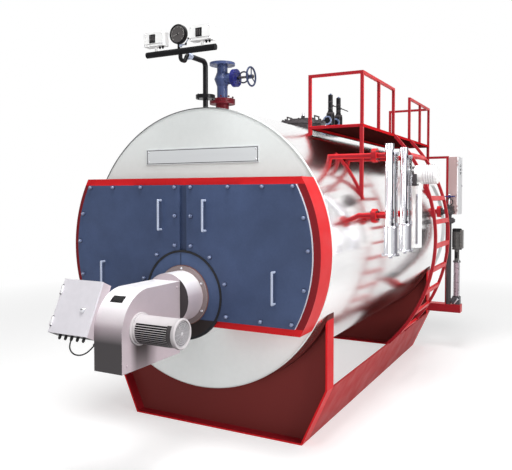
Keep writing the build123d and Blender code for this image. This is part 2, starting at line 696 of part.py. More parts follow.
# Brackets: a post down to the shell, a cross bar and a pad bent to the shell
brackets = []
pad_low = math.degrees(math.acos(PLATFORM_OUTER / BORE_R))
pad_high = math.degrees(math.asin(BRACKET_BAR_RISE / BORE_R)) + BRACKET_PAD_LAP
for y0 in (plat_y0, plat_y1 - PLATFORM_BAR):
    y1 = y0 + PLATFORM_BAR
    bar_z = AXIS_Z + BRACKET_BAR_RISE
    post = block(PLATFORM_OUTER - PLATFORM_BAR, PLATFORM_OUTER, y0, y1, AXIS_Z, frame_z0)
    bar = block(0, PLATFORM_OUTER - PLATFORM_BAR, y0, y1, bar_z - PLATFORM_BAR / 2, bar_z + PLATFORM_BAR / 2)
    pad_ring = shell_bore(y0, y1, BORE_R + BRACKET_PAD) - shell_bore(y0, y1)
    wedge_r = 2 * SHELL_R
    wedge = make_face(Polyline(
        (0, AXIS_Z),
        (wedge_r * math.cos(math.radians(pad_low)), AXIS_Z + wedge_r * math.sin(math.radians(pad_low))),
        (wedge_r * math.cos(math.radians(pad_high)), AXIS_Z + wedge_r * math.sin(math.radians(pad_high))),
        close=True))
    pad = pad_ring & plate_y(wedge, y0, y1)
    brackets.append((post + bar - shell_bore(y0, y1)) + pad)
node("platform_brackets", *brackets)


# Railings: square posts under a top bar
rail_z = floor_z + RAIL_HEIGHT


def side_panel(post_places):
    x0 = PLATFORM_OUTER - RAIL_BAR
    panel = block(x0, PLATFORM_OUTER, post_places[0], post_places[-1] + RAIL_BAR, rail_z - RAIL_BAR, rail_z)
    for y in post_places:
        panel += block(x0, PLATFORM_OUTER, y, y + RAIL_BAR, floor_z, rail_z)
    return panel


def end_panel(y):
    x1 = PLATFORM_OUTER - RAIL_BAR
    panel = block(PLATFORM_INNER, x1, y, y + RAIL_BAR, rail_z - RAIL_BAR, rail_z)
    return panel + block(PLATFORM_INNER, PLATFORM_INNER + RAIL_BAR, y, y + RAIL_BAR, floor_z, rail_z)


near_posts = [plat_y0, FRONT_Y + NEAR_POST_Y, FRONT_Y + GATE_Y0]
far_posts = [FRONT_Y + GATE_Y1, FRONT_Y + FAR_POST_Y, plat_y1 - RAIL_BAR]
node("side_railings", side_panel(near_posts), side_panel(far_posts))
node("end_railings", end_panel(plat_y0), end_panel(plat_y1 - RAIL_BAR))

# Ladder: two bent stringers from the platform down to the sill, with flat rungs
ladder_y0 = FRONT_Y + GATE_Y0
ladder_y1 = FRONT_Y + GATE_Y1 + RAIL_BAR
ring_out = LADDER_R + LADDER_BAR / 2
ring_in = LADDER_R - LADDER_BAR / 2
upper_cut = block(-ring_out, PLATFORM_OUTER, ladder_y0, ladder_y1, AXIS_Z, AXIS_Z + ring_out)
left_cut = block(-ring_out, FOOT_HALF, ladder_y0, ladder_y1, AXIS_Z - ring_out, AXIS_Z)
lower_cut = block(0, ring_out, ladder_y0, ladder_y1, AXIS_Z - ring_out, KNEE_Z)
ladder = None
for y0 in (ladder_y0, ladder_y1 - LADDER_BAR):
    y1 = y0 + LADDER_BAR
    ring = shell_bore(y0, y1, ring_out) - shell_bore(y0, y1, ring_in)
    stringer = ring - upper_cut - left_cut - lower_cut
    ladder = stringer if ladder is None else ladder + stringer
rung_top = math.degrees(math.acos(PLATFORM_OUTER / LADDER_R) - RUNG_HEAD / LADDER_R)
rung_low = math.degrees(RUNG_FOOT / LADDER_R - math.asin((AXIS_Z - KNEE_Z) / LADDER_R))
rung_step = (rung_top - rung_low) / (RUNG_COUNT - 1)
for i in range(RUNG_COUNT):
    rung = Box(RUNG_DEPTH, ladder_y1 - ladder_y0 - 2 * LADDER_BAR, RUNG_HEIGHT)
    turn = Rot(0, i * rung_step - rung_top, 0)
    ladder += Pos(0, (ladder_y0 + ladder_y1) / 2, AXIS_Z) * turn * Pos(LADDER_R, 0, 0) * rung
node("ladder", ladder)

# Level columns: a chamber, a capped tube on it and a gauge glass beside the tube
columns = []
glasses = []
for y in [FRONT_Y + place for place in COLUMN_Y]:
    tube_x = COLUMN_X - TUBE_BACK
    column = rod_z(COLUMN_X, y, COLUMN_FOOT_Z, CHAMBER_TOP_Z, CHAMBER_R)
    column += rod_z(tube_x, y, CHAMBER_TOP_Z, COLUMN_TOP_Z, TUBE_R)
    column += rod_z(tube_x, y, COLUMN_TOP_Z - TUBE_CAP, COLUMN_TOP_Z, TUBE_R + TUBE_CAP_LIP)
    glass_x = COLUMN_X + GLASS_FORE
    glass_top = COLUMN_TOP_Z - GLASS_HEAD
    glass = rod_z(glass_x, y, CHAMBER_TOP_Z, glass_top, GLASS_R)
    cock_z = glass_top - GLASS_COCK_DROP
    tube_seat = rod_z(tube_x, y, CHAMBER_TOP_Z, COLUMN_TOP_Z, TUBE_R + SEAT)
    columns.append(column)
    glasses.append(glass + rod_x(tube_x, glass_x, y, cock_z, GLASS_COCK_R) - tube_seat)
node("level_columns", *columns)
node("gauge_glasses", *glasses)

# Level controller: a shorter chamber with a round head across it
controller_y = FRONT_Y + CONTROLLER_Y
head_z = CONTROLLER_TOP_Z + HEAD_FOOT + HEAD_R
head_x0 = COLUMN_X - HEAD_BACK
controller = rod_z(COLUMN_X, controller_y, COLUMN_FOOT_Z, CONTROLLER_TOP_Z, CONTROLLER_R)
neck_z = CONTROLLER_TOP_Z + HEAD_FOOT + HEAD_R / 2
controller += rod_z(COLUMN_X, controller_y, CONTROLLER_TOP_Z, neck_z, CONTROLLER_R + CONTROLLER_LIP)
controller += rod_x(head_x0, head_x0 + HEAD_LENGTH, controller_y, head_z, HEAD_R)
controller += rod_x(head_x0 - HEAD_END, head_x0, controller_y, head_z, HEAD_END_R)
node("level_controller", controller)


# Connecting pipes from the shell to the columns, each with a pair of flanges
def level_pipe(y, rise, x1, seat):
    z = AXIS_Z + rise
    x0 = shell_height(rise) - SHELL_WALL
    flange_x = x1 - LEVEL_FLANGE_BACK
    pipe = rod_x(x0, x1, y, z, LEVEL_PIPE_R)
    pipe += rod_x(flange_x - LEVEL_FLANGE_THICK / 2, flange_x + LEVEL_FLANGE_THICK / 2, y, z, LEVEL_FLANGE_R)
    return pipe - shell_bore(y - SHELL_R, y + SHELL_R) - seat


pipes = []
for y in [FRONT_Y + place for place in COLUMN_Y]:
    tube_seat = rod_z(COLUMN_X - TUBE_BACK, y, COLUMN_FOOT_Z, COLUMN_TOP_Z, TUBE_R + SEAT)
    for rise in (PIPE_LOW_RISE, PIPE_HIGH_RISE):
        pipes.append(level_pipe(y, rise, COLUMN_X - TUBE_BACK, tube_seat))
controller_seat = rod_z(COLUMN_X, controller_y, COLUMN_FOOT_Z, COLUMN_TOP_Z, CONTROLLER_R + SEAT)
pipes.append(level_pipe(controller_y, PIPE_LOW_RISE, COLUMN_X, controller_seat))
node("level_pipes", *pipes)

# Stand at the rear saddle: a beam, a post and a stay to the shell
beam_y0 = REAR_SADDLE_Y - BEAM_WIDTH / 2
beam_y1 = REAR_SADDLE_Y + BEAM_WIDTH / 2
beam_z0 = KNEE_Z + BEAM_RISE - BEAM_HEIGHT / 2
beam_z1 = beam_z0 + BEAM_HEIGHT
node("pump_beam", block(KNEE_HALF, SHELL_R + BEAM_REACH, beam_y0, beam_y1, beam_z0, beam_z1))
post_y = REAR_SADDLE_Y + POST_BACK
post_x1 = POST_X + POST_BAR / 2
node("panel_post", block(POST_X - POST_BAR / 2, post_x1, post_y - POST_BAR / 2, post_y + POST_BAR / 2,
                         beam_z1, POST_TOP_Z))
stay_z0 = POST_TOP_Z - POST_BAR
stay = block(0, POST_X - POST_BAR / 2, post_y - POST_BAR / 2, post_y + POST_BAR / 2, stay_z0, POST_TOP_Z)
node("panel_stay", stay - shell_bore(jacket_y0, jacket_y1))

# Upright multistage feed pump
pump_z1 = beam_z1 + PUMP_BASE_HEIGHT
pump = block(PUMP_X - PUMP_BASE / 2, PUMP_X + PUMP_BASE / 2, REAR_SADDLE_Y - PUMP_BASE / 2,
             REAR_SADDLE_Y + PUMP_BASE / 2, beam_z1, pump_z1)
pump_z2 = pump_z1 + PUMP_SLEEVE
pump_z3 = pump_z2 + PUMP_LANTERN
pump += rod_z(PUMP_X, REAR_SADDLE_Y, pump_z1, pump_z2, PUMP_SLEEVE_R)
pump += rod_z(PUMP_X, REAR_SADDLE_Y, pump_z2, pump_z3, PUMP_LANTERN_R)
pump += rod_z(PUMP_X, REAR_SADDLE_Y, pump_z3, pump_z3 + PUMP_MOTOR, PUMP_MOTOR_R)
terminal_z = pump_z3 + PUMP_MOTOR / 2
pump += block(PUMP_X, PUMP_X + PUMP_MOTOR_R + PUMP_TERMINAL, REAR_SADDLE_Y - PUMP_TERMINAL_HALF,
              REAR_SADDLE_Y + PUMP_TERMINAL_HALF, terminal_z - PUMP_TERMINAL_RISE, terminal_z + PUMP_TERMINAL_RISE)
node("feed_pump", pump)

# Feed nozzle on the shell's side and the riser with its angle valve
feed_y = REAR_SADDLE_Y - FEED_FORE
feed_flange_x0 = shell_height(FEED_NOZZLE_RISE) + FEED_NECK
feed_flange_x1 = feed_flange_x0 + FEED_FLANGE_THICK
feed_nozzle = rod_x(0, feed_flange_x0, feed_y, FEED_NOZZLE_Z, FEED_PIPE_R) - shell_bore(jacket_y0, jacket_y1)
feed_nozzle += rod_x(feed_flange_x0, feed_flange_x1, feed_y, FEED_NOZZLE_Z, FEED_FLANGE_R)
node("feed_nozzle", feed_nozzle)

feed_flange_z = FEED_NOZZLE_Z - FEED_FLANGE_DROP
feed_bonnet_z0 = FEED_NOZZLE_Z + FEED_VALVE_R
feed_bonnet_z1 = feed_bonnet_z0 + FEED_BONNET_THICK
feed = rod_z(FEED_X, feed_y, beam_z1, FEED_NOZZLE_Z, FEED_PIPE_R)
feed += rod_x(feed_flange_x1, FEED_X, feed_y, FEED_NOZZLE_Z, FEED_PIPE_R)
feed += rod_x(FEED_X, PUMP_X - PUMP_BASE / 2, feed_y, beam_z1 + PUMP_BASE_HEIGHT / 2, FEED_PIPE_R)
feed += rod_z(FEED_X, feed_y, feed_flange_z - FEED_FLANGE_THICK / 2, feed_flange_z + FEED_FLANGE_THICK / 2,
              FEED_FLANGE_R)
feed += Pos(FEED_X, feed_y, FEED_NOZZLE_Z) * Sphere(FEED_VALVE_R)
feed += rod_z(FEED_X, feed_y, FEED_NOZZLE_Z, feed_bonnet_z0, FEED_BONNET_NECK_R)
feed += rod_z(FEED_X, feed_y, feed_bonnet_z0, feed_bonnet_z1, FEED_BONNET_R)
feed_yoke, feed_hub = yoke(FEED_RING_R)
feed_place = Pos(FEED_X, feed_y, feed_bonnet_z1)
node("feed_pipe", feed + feed_place * feed_yoke)
feed_wheel = handwheel(FEED_WHEEL_R, FEED_WHEEL_RIM, WHEEL_HUB_R, WHEEL_HUB_LENGTH, STEM_R + WHEEL_FIT)
node("feed_valve_wheel", feed_place * Pos(0, 0, feed_hub) * feed_wheel)

# Control panel on the post, its door facing +X
panel_x1 = post_x1 + PANEL_DEPTH + PANEL_GAP + PANEL_DOOR
panel_y0 = post_y - PANEL_LEAD
panel_z0 = POST_TOP_Z - PANEL_DROP - PANEL_HEIGHT
panel_place = Pos(panel_x1, panel_y0, panel_z0) * Rot(0, 0, 90)
panel_case, panel_door = cabinet(PANEL_WIDTH, PANEL_DEPTH, PANEL_HEIGHT, PANEL_WALL, PANEL_DOOR, PANEL_GAP)
for i in range(BUTTON_COUNT):
    z = PANEL_HEIGHT - BUTTON_DROP - i * BUTTON_PITCH
    panel_door += rod_y(PANEL_WIDTH / 2, -BUTTON_PROUD, 0, z, BUTTON_R)
node("control_panel_case", panel_place * panel_case)
node("control_panel_door", panel_place * panel_door)

# Rear smoke box, cover and flue outlet
rear_face = REAR_Y + REAR_BOX_DEPTH
node("rear_smoke_box", plate_y(box_outline(0) - box_outline(BOX_FLANGE), REAR_Y, rear_face))
flue_z = AXIS_Z + FLUE_RISE
flue_hole = Pos(0, flue_z) * Circle(FLUE_R)
node("rear_cover", plate_y(box_outline(DOOR_MARGIN) - flue_hole, rear_face, rear_face + REAR_COVER))
flue_ring = Pos(0, flue_z) * (Circle(FLUE_R) - Circle(FLUE_R - FLUE_WALL))
flange_ring = Pos(0, flue_z) * (Circle(FLUE_FLANGE_R) - Circle(FLUE_R - FLUE_WALL))
flue_y1 = rear_face + REAR_COVER + FLUE_LENGTH
collar = plate_y(flue_ring, rear_face, flue_y1)
node("flue_collar", collar + plate_y(flange_ring, flue_y1 - FLUE_FLANGE, flue_y1))

# Cable from the third gland, sagging below the box and up to the housing's side
cable_x = GLAND_FIRST + CABLE_GLAND * GLAND_PITCH
start = (ctrl_place * Pos(cable_x, gland_y, -GLAND_LENGTH)).position
drop = (ctrl_place * Pos(cable_x, gland_y, -GLAND_LENGTH - CABLE_LEAD)).position
cable_route = [(15, -18, -64), (43, -12, -86), (79, 4, -91), (110, 24, -79), (133, 42, -56), (153, 57, -28)]
cable_points = [tuple(start), tuple(drop)]
for dx, dy, dz in cable_route:
    cable_points.append((start.X + dx, start.Y + dy, start.Z + dz))


def cable_radii(points):
    radii = []
    for a, b, c in zip(points, points[1:], points[2:]):
        into = Vector(*b) - Vector(*a)
        out = Vector(*c) - Vector(*b)
        half_turn = math.radians(into.get_angle(out)) / 2
        radii.append(CABLE_BEND_SHARE * min(into.length, out.length) / math.tan(half_turn))
    return radii


radii = cable_radii(cable_points)
cable_path = FilletPolyline(*cable_points, radius=radii)
cable = sweep(Plane(origin=cable_path @ 0, z_dir=cable_path % 0) * Circle(CABLE_R), path=cable_path)
print("cable radii", [round(r, 1) for r in radii])
print("cable length", round(cable_path.length, 1), "volume ratio",
      round(cable.volume / (math.pi * CABLE_R ** 2 * cable_path.length), 4))
node("burner_cable", cable)
entry = Plane(origin=cable_path @ 1, z_dir=cable_path % 1)
node("housing_gland", extrude(entry * Circle(GLAND_R), HOUSING_GLAND_REACH)
     - block(-HOUSING_HALF, HOUSING_HALF, HOUSING_FRONT_Y, HOUSING_REAR_Y, housing_bottom, housing_top))

os.makedirs("parts", exist_ok=True)
for name, shape in NODES.items():
    export_step(shape, f"parts/{name}.step")
print(len(NODES), "nodes")
hinge_x, hinge_y = hinge_axis(CTRL_DOOR)
print("control box hinge", ctrl_place * Pos(hinge_x, hinge_y, 0))
hinge_x, hinge_y = hinge_axis(PANEL_DOOR)
print("panel hinge", panel_place * Pos(hinge_x, hinge_y, 0))
print("steam wheel", (bonnet_x1 + steam_hub, steam_y, stem_z), "outlet", (0, steam_y, valve_z1))
print("feed wheel", (FEED_X, feed_y, feed_bonnet_z1 + feed_hub))
print("flue", (0, flue_y1, flue_z), "rear saddle", REAR_SADDLE_Y, "floor", floor_z, rail_z)
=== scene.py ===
import math

import bmesh
import bpy
from mathutils import Matrix, Vector


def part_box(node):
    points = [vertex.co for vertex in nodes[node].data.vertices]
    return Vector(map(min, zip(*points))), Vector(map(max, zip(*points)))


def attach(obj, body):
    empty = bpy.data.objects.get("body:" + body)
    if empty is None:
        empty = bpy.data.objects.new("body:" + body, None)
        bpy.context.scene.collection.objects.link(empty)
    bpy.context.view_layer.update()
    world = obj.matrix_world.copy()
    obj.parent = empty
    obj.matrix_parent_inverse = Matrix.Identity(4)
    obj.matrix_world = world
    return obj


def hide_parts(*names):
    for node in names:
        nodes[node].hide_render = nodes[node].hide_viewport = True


# Looks of a horizontal fire-tube steam boiler. Metres, +Z up, +X to the right seen from the burner
# end, +Y towards the rear. The solids come from the frame; this script adds finishes and small parts.
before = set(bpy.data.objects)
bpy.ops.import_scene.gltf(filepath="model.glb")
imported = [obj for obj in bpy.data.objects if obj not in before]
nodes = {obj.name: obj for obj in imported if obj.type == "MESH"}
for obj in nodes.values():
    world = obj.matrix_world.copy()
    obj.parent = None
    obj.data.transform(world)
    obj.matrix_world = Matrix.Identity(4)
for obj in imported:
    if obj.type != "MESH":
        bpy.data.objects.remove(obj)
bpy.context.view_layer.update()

MM = 0.001
RIGHT = Vector((1, 0, 0))
LEFT = -RIGHT
REAR = Vector((0, 1, 0))
FRONT = -REAR
UP = Vector((0, 0, 1))
DOWN = -UP
SIDES = (-1, 1)
HEXAGON = 6
SHARP_ANGLE = math.radians(34)
at = Matrix.Translation


def low(node):
    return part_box(node)[0]


def high(node):
    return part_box(node)[1]


def middle(node):
    return (low(node) + high(node)) / 2


def polar(radius, angle):
    return radius * math.cos(angle), radius * math.sin(angle)


# Sizes shared by finishes and small parts
SHELL_R = (high("front_end_plate").z - low("front_end_plate").z) / 2
AXIS_Z = middle("front_end_plate").z
DOOR_FACE = low("left_smoke_door").y
DOOR_FOOT_Z = low("left_smoke_door").z
DOOR_TOP_Z = high("left_smoke_door").z
DOOR_EDGE_FROM = 0.5
RIM_END_FROM = 0.965
SADDLE_WEB = 95 * MM
SADDLE_LINING = 20 * MM
BURNER_ROUND = 283 * MM
BURNER_ROUND_Z = high("burner_housing").z - BURNER_ROUND
BURNER_ROUND_Y = low("burner_housing").y + BURNER_ROUND
DUCT_START_Y = low("burner_duct").y
DUCT_FLANGE_Y = high("burner_duct").y - 18 * MM
BONNET_DEPTH = 37 * MM
CONTROLLER_BELL = 62 * MM
CONTROLLER_HEAD = 176 * MM
PUMP_BASE_Z = low("feed_pump").z + 96 * MM
PUMP_LANTERN_Z = low("feed_pump").z + 545 * MM

# Camera
CAMERA_PLACE = (2.742, -4.490, 1.995)
CAMERA_TURN = (math.radians(88.03), 0.0, math.radians(27.61))
CAMERA_LENS = 43.0
CAMERA_SHIFT = (-0.0035, -0.0367)
CAMERA_REACH = 300


def make_camera():
    camera = bpy.data.objects.new("camera", bpy.data.cameras.new("camera"))
    camera.location = CAMERA_PLACE
    camera.rotation_euler = CAMERA_TURN
    camera.data.lens = CAMERA_LENS
    camera.data.shift_x, camera.data.shift_y = CAMERA_SHIFT
    camera.data.clip_end = CAMERA_REACH
    bpy.context.scene.collection.objects.link(camera)
    bpy.context.scene.camera = camera


# Finishes

def srgb(red, green, blue):
    """A colour given in 0 to 255 screen values, as linear light."""
    def linear(value):
        share = value / 255
        return share / 12.92 if share <= 0.04045 else ((share + 0.055) / 1.055) ** 2.4
    return (linear(red), linear(green), linear(blue), 1.0)


def tinted(colour, factor):
    return tuple(min(1.0, part * factor) for part in colour[:3]) + (1.0,)


class Graph:
    """Short calls that add shader nodes to a tree."""

    def __init__(self, tree):
        self.tree = tree

    def feed(self, socket, value):
        if isinstance(value, bpy.types.NodeSocket):
            self.tree.links.new(value, socket)
        else:
            socket.default_value = value

    def add(self, kind, settings=(), **inputs):
        node = self.tree.nodes.new("ShaderNode" + kind)
        for name, value in dict(settings).items():
            setattr(node, name, value)
        for name, value in inputs.items():
            self.feed(node.inputs[name.replace("_", " ")], value)
        return node

    def ramp(self, value, start, end, out_start=0.0, out_end=1.0):
        made = self.add("MapRange", Value=value, From_Min=start, From_Max=end)
        self.feed(made.inputs["To Min"], out_start)
        self.feed(made.inputs["To Max"], out_end)
        return made.outputs[0]

    def fed(self, kind, settings, first, second):
        """A node with its first two inputs fed."""
        made = self.add(kind, settings)
        self.feed(made.inputs[0], first)
        self.feed(made.inputs[1], second)
        return made

    def maths(self, operation, first, second=0.0):
        return self.fed("Math", {"operation": operation}, first, second).outputs[0]

    def vectors(self, operation, first, second):
        return self.fed("VectorMath", {"operation": operation}, first, second).outputs["Value"]

    def both(self, first, *others):
        """The product of masks: 1 only where all of them are."""
        for other in others:
            first = self.maths("MULTIPLY", first, other)
        return first


class Finish(Graph):
    """One Principled material, with short calls for the nodes that vary it over the surface."""

    def __init__(self, name, colour, metallic=0.0, roughness=0.5, **sockets):
        self.material = bpy.data.materials.new(name)
        self.material.use_nodes = True
        super().__init__(self.material.node_tree)
        self.shader = self.tree.nodes["Principled BSDF"]
        where = self.add("TexCoord")
        self.place = where.outputs["Object"]
        self.normal_side = where.outputs["Normal"]
        self.colour = colour
        self.normal = None
        self.shader.inputs["Metallic"].default_value = metallic
        self.shader.inputs["Roughness"].default_value = roughness
        for socket, value in sockets.items():
            self.shader.inputs[socket.replace("_", " ").title().replace("Ior", "IOR")].default_value = value

    def noise(self, scale, detail=3.0, stretch=(1, 1, 1)):
        spread = self.add("Mapping", Vector=self.place, Scale=stretch)
        made = self.add("TexNoise", Vector=spread.outputs["Vector"], Scale=scale, Detail=detail)
        return made.outputs[0]

    def part_of(self, axis, source=None):
        """One coordinate of the place, or of another source."""
        return self.add("SeparateXYZ", Vector=source or self.place).outputs[axis]

    def along(self, axis, start, end):
        """0 before start and 1 after end along an axis of the place."""
        return self.ramp(self.part_of(axis), start, end)

    def facing(self, axis, start, end):
        """The same along an axis of the surface normal."""
        return self.ramp(self.part_of(axis, self.normal_side), start, end)

    def beyond(self, axis, distance):
        """1 farther than a distance from the part's middle plane."""
        return self.maths("GREATER_THAN", self.maths("ABSOLUTE", self.part_of(axis)), distance)

    def cloud(self, amount, scale, stretch=(1, 1, 1)):
        """Uneven colour: darker and lighter patches of that scale."""
        patches = self.ramp(self.noise(scale, 4.0, stretch), 0.3, 0.7, 1 - amount, 1 + amount)
        scaled = self.add("VectorMath", {"operation": "SCALE"}, Scale=patches)
        self.feed(scaled.inputs[0], self.colour[:3] if isinstance(self.colour, tuple) else self.colour)
        self.colour = scaled.outputs[0]
        return self

    def cover(self, mask, colour):
        """Another colour where the mask is 1."""
        made = self.add("Mix", {"data_type": "RGBA"})
        for slot, value in ((0, mask), (6, self.colour), (7, colour)):
            self.feed(made.inputs[slot], value)
        self.colour = made.outputs[2]
        return self

    def on_faces(self, axis, start, end, colour):
        """Another colour on the faces that look along an axis."""
        return self.cover(self.facing(axis, start, end), colour)

    def rough(self, start, end, scale, stretch=(1, 1, 1)):
        self.feed(self.shader.inputs["Roughness"],
                  self.ramp(self.noise(scale, 4.0, stretch), 0.3, 0.7, start, end))
        return self

    def round_edges(self, radius, worn=None, amount=0.6):
        """Softens edges in the shading, and lets another colour show along them in broken patches."""
        self.normal = self.add("Bevel", {"samples": 4}, Radius=radius).outputs["Normal"]
        if worn:
            flat = self.add("NewGeometry").outputs["Normal"]
            edge = self.ramp(self.vectors("DOT_PRODUCT", self.normal, flat), 0.97, 0.86)
            chips = self.ramp(self.noise(38.0, 5.0), 0.46, 0.60, 0.0, amount)
            self.cover(self.both(edge, chips), worn)
        return self

    def bump(self, scale, depth, strength=1.0, stretch=(1, 1, 1)):
        made = self.add("Bump", Height=self.noise(scale, 3.0, stretch), Distance=depth, Strength=strength)
        if self.normal:
            self.feed(made.inputs["Normal"], self.normal)
        self.normal = made.outputs["Normal"]
        return self

    def done(self):
        self.feed(self.shader.inputs["Base Color"], self.colour)
        if self.normal:
            self.feed(self.shader.inputs["Normal"], self.normal)
        return self.material


RED = srgb(208, 33, 38)
RED_CHIP = tinted(RED, 0.42)
# Painted shade on red parts: SHADE_RED, DARK_RED and UNDER_RED
SHADE_RED = srgb(142, 28, 36)
DARK_RED = srgb(112, 46, 44)
UNDER_RED = tinted(DARK_RED, 0.3)
DOOR_BLUE = srgb(64, 78, 110)
# Painted highlight on the doors' outer edges
PALE_EDGE = srgb(196, 202, 212)
BONNET_BLUE = srgb(34, 37, 104)
BONNET_CHIP = srgb(84, 88, 160)
VALVE_CHIP = srgb(140, 150, 186)
PLATE_GREY = srgb(232, 236, 235)
SILVER = srgb(188, 175, 181)
# Painted light on the burner's top faces
SILVER_LIT_TOP = srgb(250, 248, 250)
IRON = srgb(66, 62, 64)
FLANGE_BROWN = srgb(140, 126, 126)
MOTOR_CHIP = srgb(150, 146, 148)
STEEL = srgb(208, 208, 212)
BLACK = srgb(16, 15, 18)
WHITE = srgb(248, 248, 247)


def painted(name, colour, worn=None, roughness=(0.30, 0.46), cloud=0.05, coat=0.04, gloss=0.08):
    """Sprayed paint: faint clouds, orange peel and chips along the edges."""
    made = Finish(name, colour, 0.0, 0.35, coat_weight=coat, coat_roughness=0.12, specular_ior_level=gloss)
    made.cloud(cloud, 2.2).cloud(cloud / 2, 23.0)
    made.rough(*roughness, 5.0)
    made.round_edges(0.003, worn, 0.35)
    return made.bump(160.0, 0.0005, 0.35)


def metal(name, colour, roughness=(0.16, 0.30), brushed=(1, 1, 1)):
    made = Finish(name, colour, 1.0, 0.25)
    made.cloud(0.05, 6.0, brushed)
    made.rough(*roughness, 14.0, brushed)
    made.round_edges(0.002)
    return made.bump(90.0, 0.0004, 0.3, brushed)


def plastic(name, colour, roughness=(0.35, 0.5)):
    made = Finish(name, colour, 0.0, 0.42, specular_ior_level=0.4)
    made.cloud(0.04, 9.0).rough(*roughness, 20.0)
    made.round_edges(0.002)
    return made.bump(420.0, 0.0003, 0.4)


def cast(name, colour, worn=None):
    """Enamel over a rough casting."""
    made = Finish(name, colour, 0.0, 0.4, coat_weight=0.10, coat_roughness=0.15, specular_ior_level=0.16)
    made.cloud(0.12, 11.0).rough(0.28, 0.46, 16.0)
    made.round_edges(0.003, worn)
    return made.bump(120.0, 0.0012, 0.45)


def front_shaded(made):
    """Painted shade: darker red on the faces towards the burner end."""
    return made.on_faces("Y", -0.6, -0.95, SHADE_RED).done()


def rim_paint():
    """The smoke box, with painted shade: darker front faces on the curved ends round the doors, and darker,
    greyer top faces.
    """
    made = painted("rim_paint", RED, RED_CHIP)
    # Painted shade on the front faces of the curved ends
    ends = made.both(made.beyond("X", RIM_END_FROM), made.along("Z", DOOR_FOOT_Z - 0.004, DOOR_FOOT_Z),
                     made.along("Z", DOOR_TOP_Z + 0.004, DOOR_TOP_Z))
    made.cover(made.both(made.facing("Y", -0.7, -0.95), ends), srgb(124, 28, 34))
    # Painted shade: darker, greyer top faces
    return made.on_faces("Z", 0.7, 0.95, srgb(118, 92, 88)).done()


def saddle_paint(node):
    """Red plates with painted shade: darker red on the top faces and the left flange's inner face, dark red
    on the web, and a darker red lining under the shell.
    """
    made = painted(node + "_paint", RED, RED_CHIP, coat=0.02, gloss=0.04)
    # Painted shade on the top faces and on the left flange's inner face
    made.on_faces("Z", 0.6, 0.9, SHADE_RED)
    made.cover(made.both(made.facing("X", 0.5, 0.8), made.along("X", 0.0, -0.1)), SHADE_RED)
    # Painted shade: dark red on the front faces of the web
    web_y = low(node).y + SADDLE_WEB
    behind = made.along("Y", web_y - 0.020, web_y - 0.010)
    made.cover(made.both(made.facing("Y", -0.75, -0.95), behind), DARK_RED)
    # Painted shade: a darker red lining under the shell
    across = made.part_of("X")
    rise = made.maths("SUBTRACT", made.part_of("Z"), AXIS_Z)
    square = made.maths("ADD", made.both(across, across), made.both(rise, rise))
    made.cover(made.maths("LESS_THAN", square, (SHELL_R + SADDLE_LINING) ** 2), tinted(DARK_RED, 0.6))
    return made.done()


def red_shaded_below(name):
    """Red all round, with painted shade on the faces that look down."""
    made = painted(name, RED, RED_CHIP, coat=0.0, gloss=0.0)
    return made.on_faces("Z", -0.6, -0.9, UNDER_RED)


def floor_paint():
    """Walked-on steel above the red edges."""
    made = red_shaded_below("floor_paint")
    worn = made.ramp(made.noise(6.0, 5.0), 0.35, 0.65, 0.55, 1.0)
    made.cover(made.both(made.facing("Z", 0.6, 0.9), worn), srgb(128, 122, 122))
    return made.done()


def door_paint(name, colour=DOOR_BLUE, below_doors=False):
    """Slate blue with soft clouds. Outer cut edges are pale as a painted highlight, and what hangs below the
    doors is dark as a painted shadow.
    """
    made = Finish(name, colour, 0.0, 0.40, specular_ior_level=0.2)
    made.cloud(0.16, 1.6).cloud(0.07, 9.0).cloud(0.04, 60.0)
    # Painted highlight on the outer cut edges
    sideways = made.maths("ABSOLUTE", made.part_of("Y", made.normal_side))
    made.cover(made.both(made.ramp(sideways, 0.7, 0.4), made.beyond("X", DOOR_EDGE_FROM)), PALE_EDGE)
    # Painted shadow: dark below the doors
    if below_doors:
        made.cover(made.along("Z", DOOR_FOOT_Z + 0.004, DOOR_FOOT_Z - 0.004), srgb(48, 42, 42))
    made.rough(0.30, 0.52, 2.6)
    made.round_edges(0.004, tinted(DOOR_BLUE, 2.2), 0.4)
    made.bump(1.8, 0.010, 0.25)
    return made.bump(120.0, 0.0006, 0.35).done()


def dark_below(name, colour, worn, below, start, end):
    """Grey machine paint, darker on the faces that look down as painted shade."""
    return painted(name, colour, worn, (0.34, 0.5), 0.045, 0.05).on_faces("Z", start, end, below).done()


def jacket_sheet():
    """Bright-rolled stainless sheet: soft wavy mirror with faint rolling streaks along the shell."""
    made = Finish("jacket_sheet", srgb(247, 246, 246), 1.0, 0.14)
    made.cloud(0.03, 1.3).cloud(0.02, 30.0, (1, 0.08, 1))
    made.rough(0.11, 0.21, 2.4, (1, 0.35, 1))
    made.bump(1.1, 0.020, 0.22, (1, 0.5, 1))
    return made.bump(60.0, 0.0003, 0.12, (1, 0.06, 1)).done()


def lip_paint():
    """Pale rolled edge, dark along the upper left as painted shade."""
    made = painted("lip_paint", srgb(212, 215, 214), None, (0.3, 0.45), 0.04, 0.1)
    shaded_upper_left = made.both(made.along("Z", AXIS_Z + 0.30, AXIS_Z + 0.55), made.along("X", 0.45, 0.15))
    made.cover(shaded_upper_left, srgb(74, 74, 76))
    return made.done()


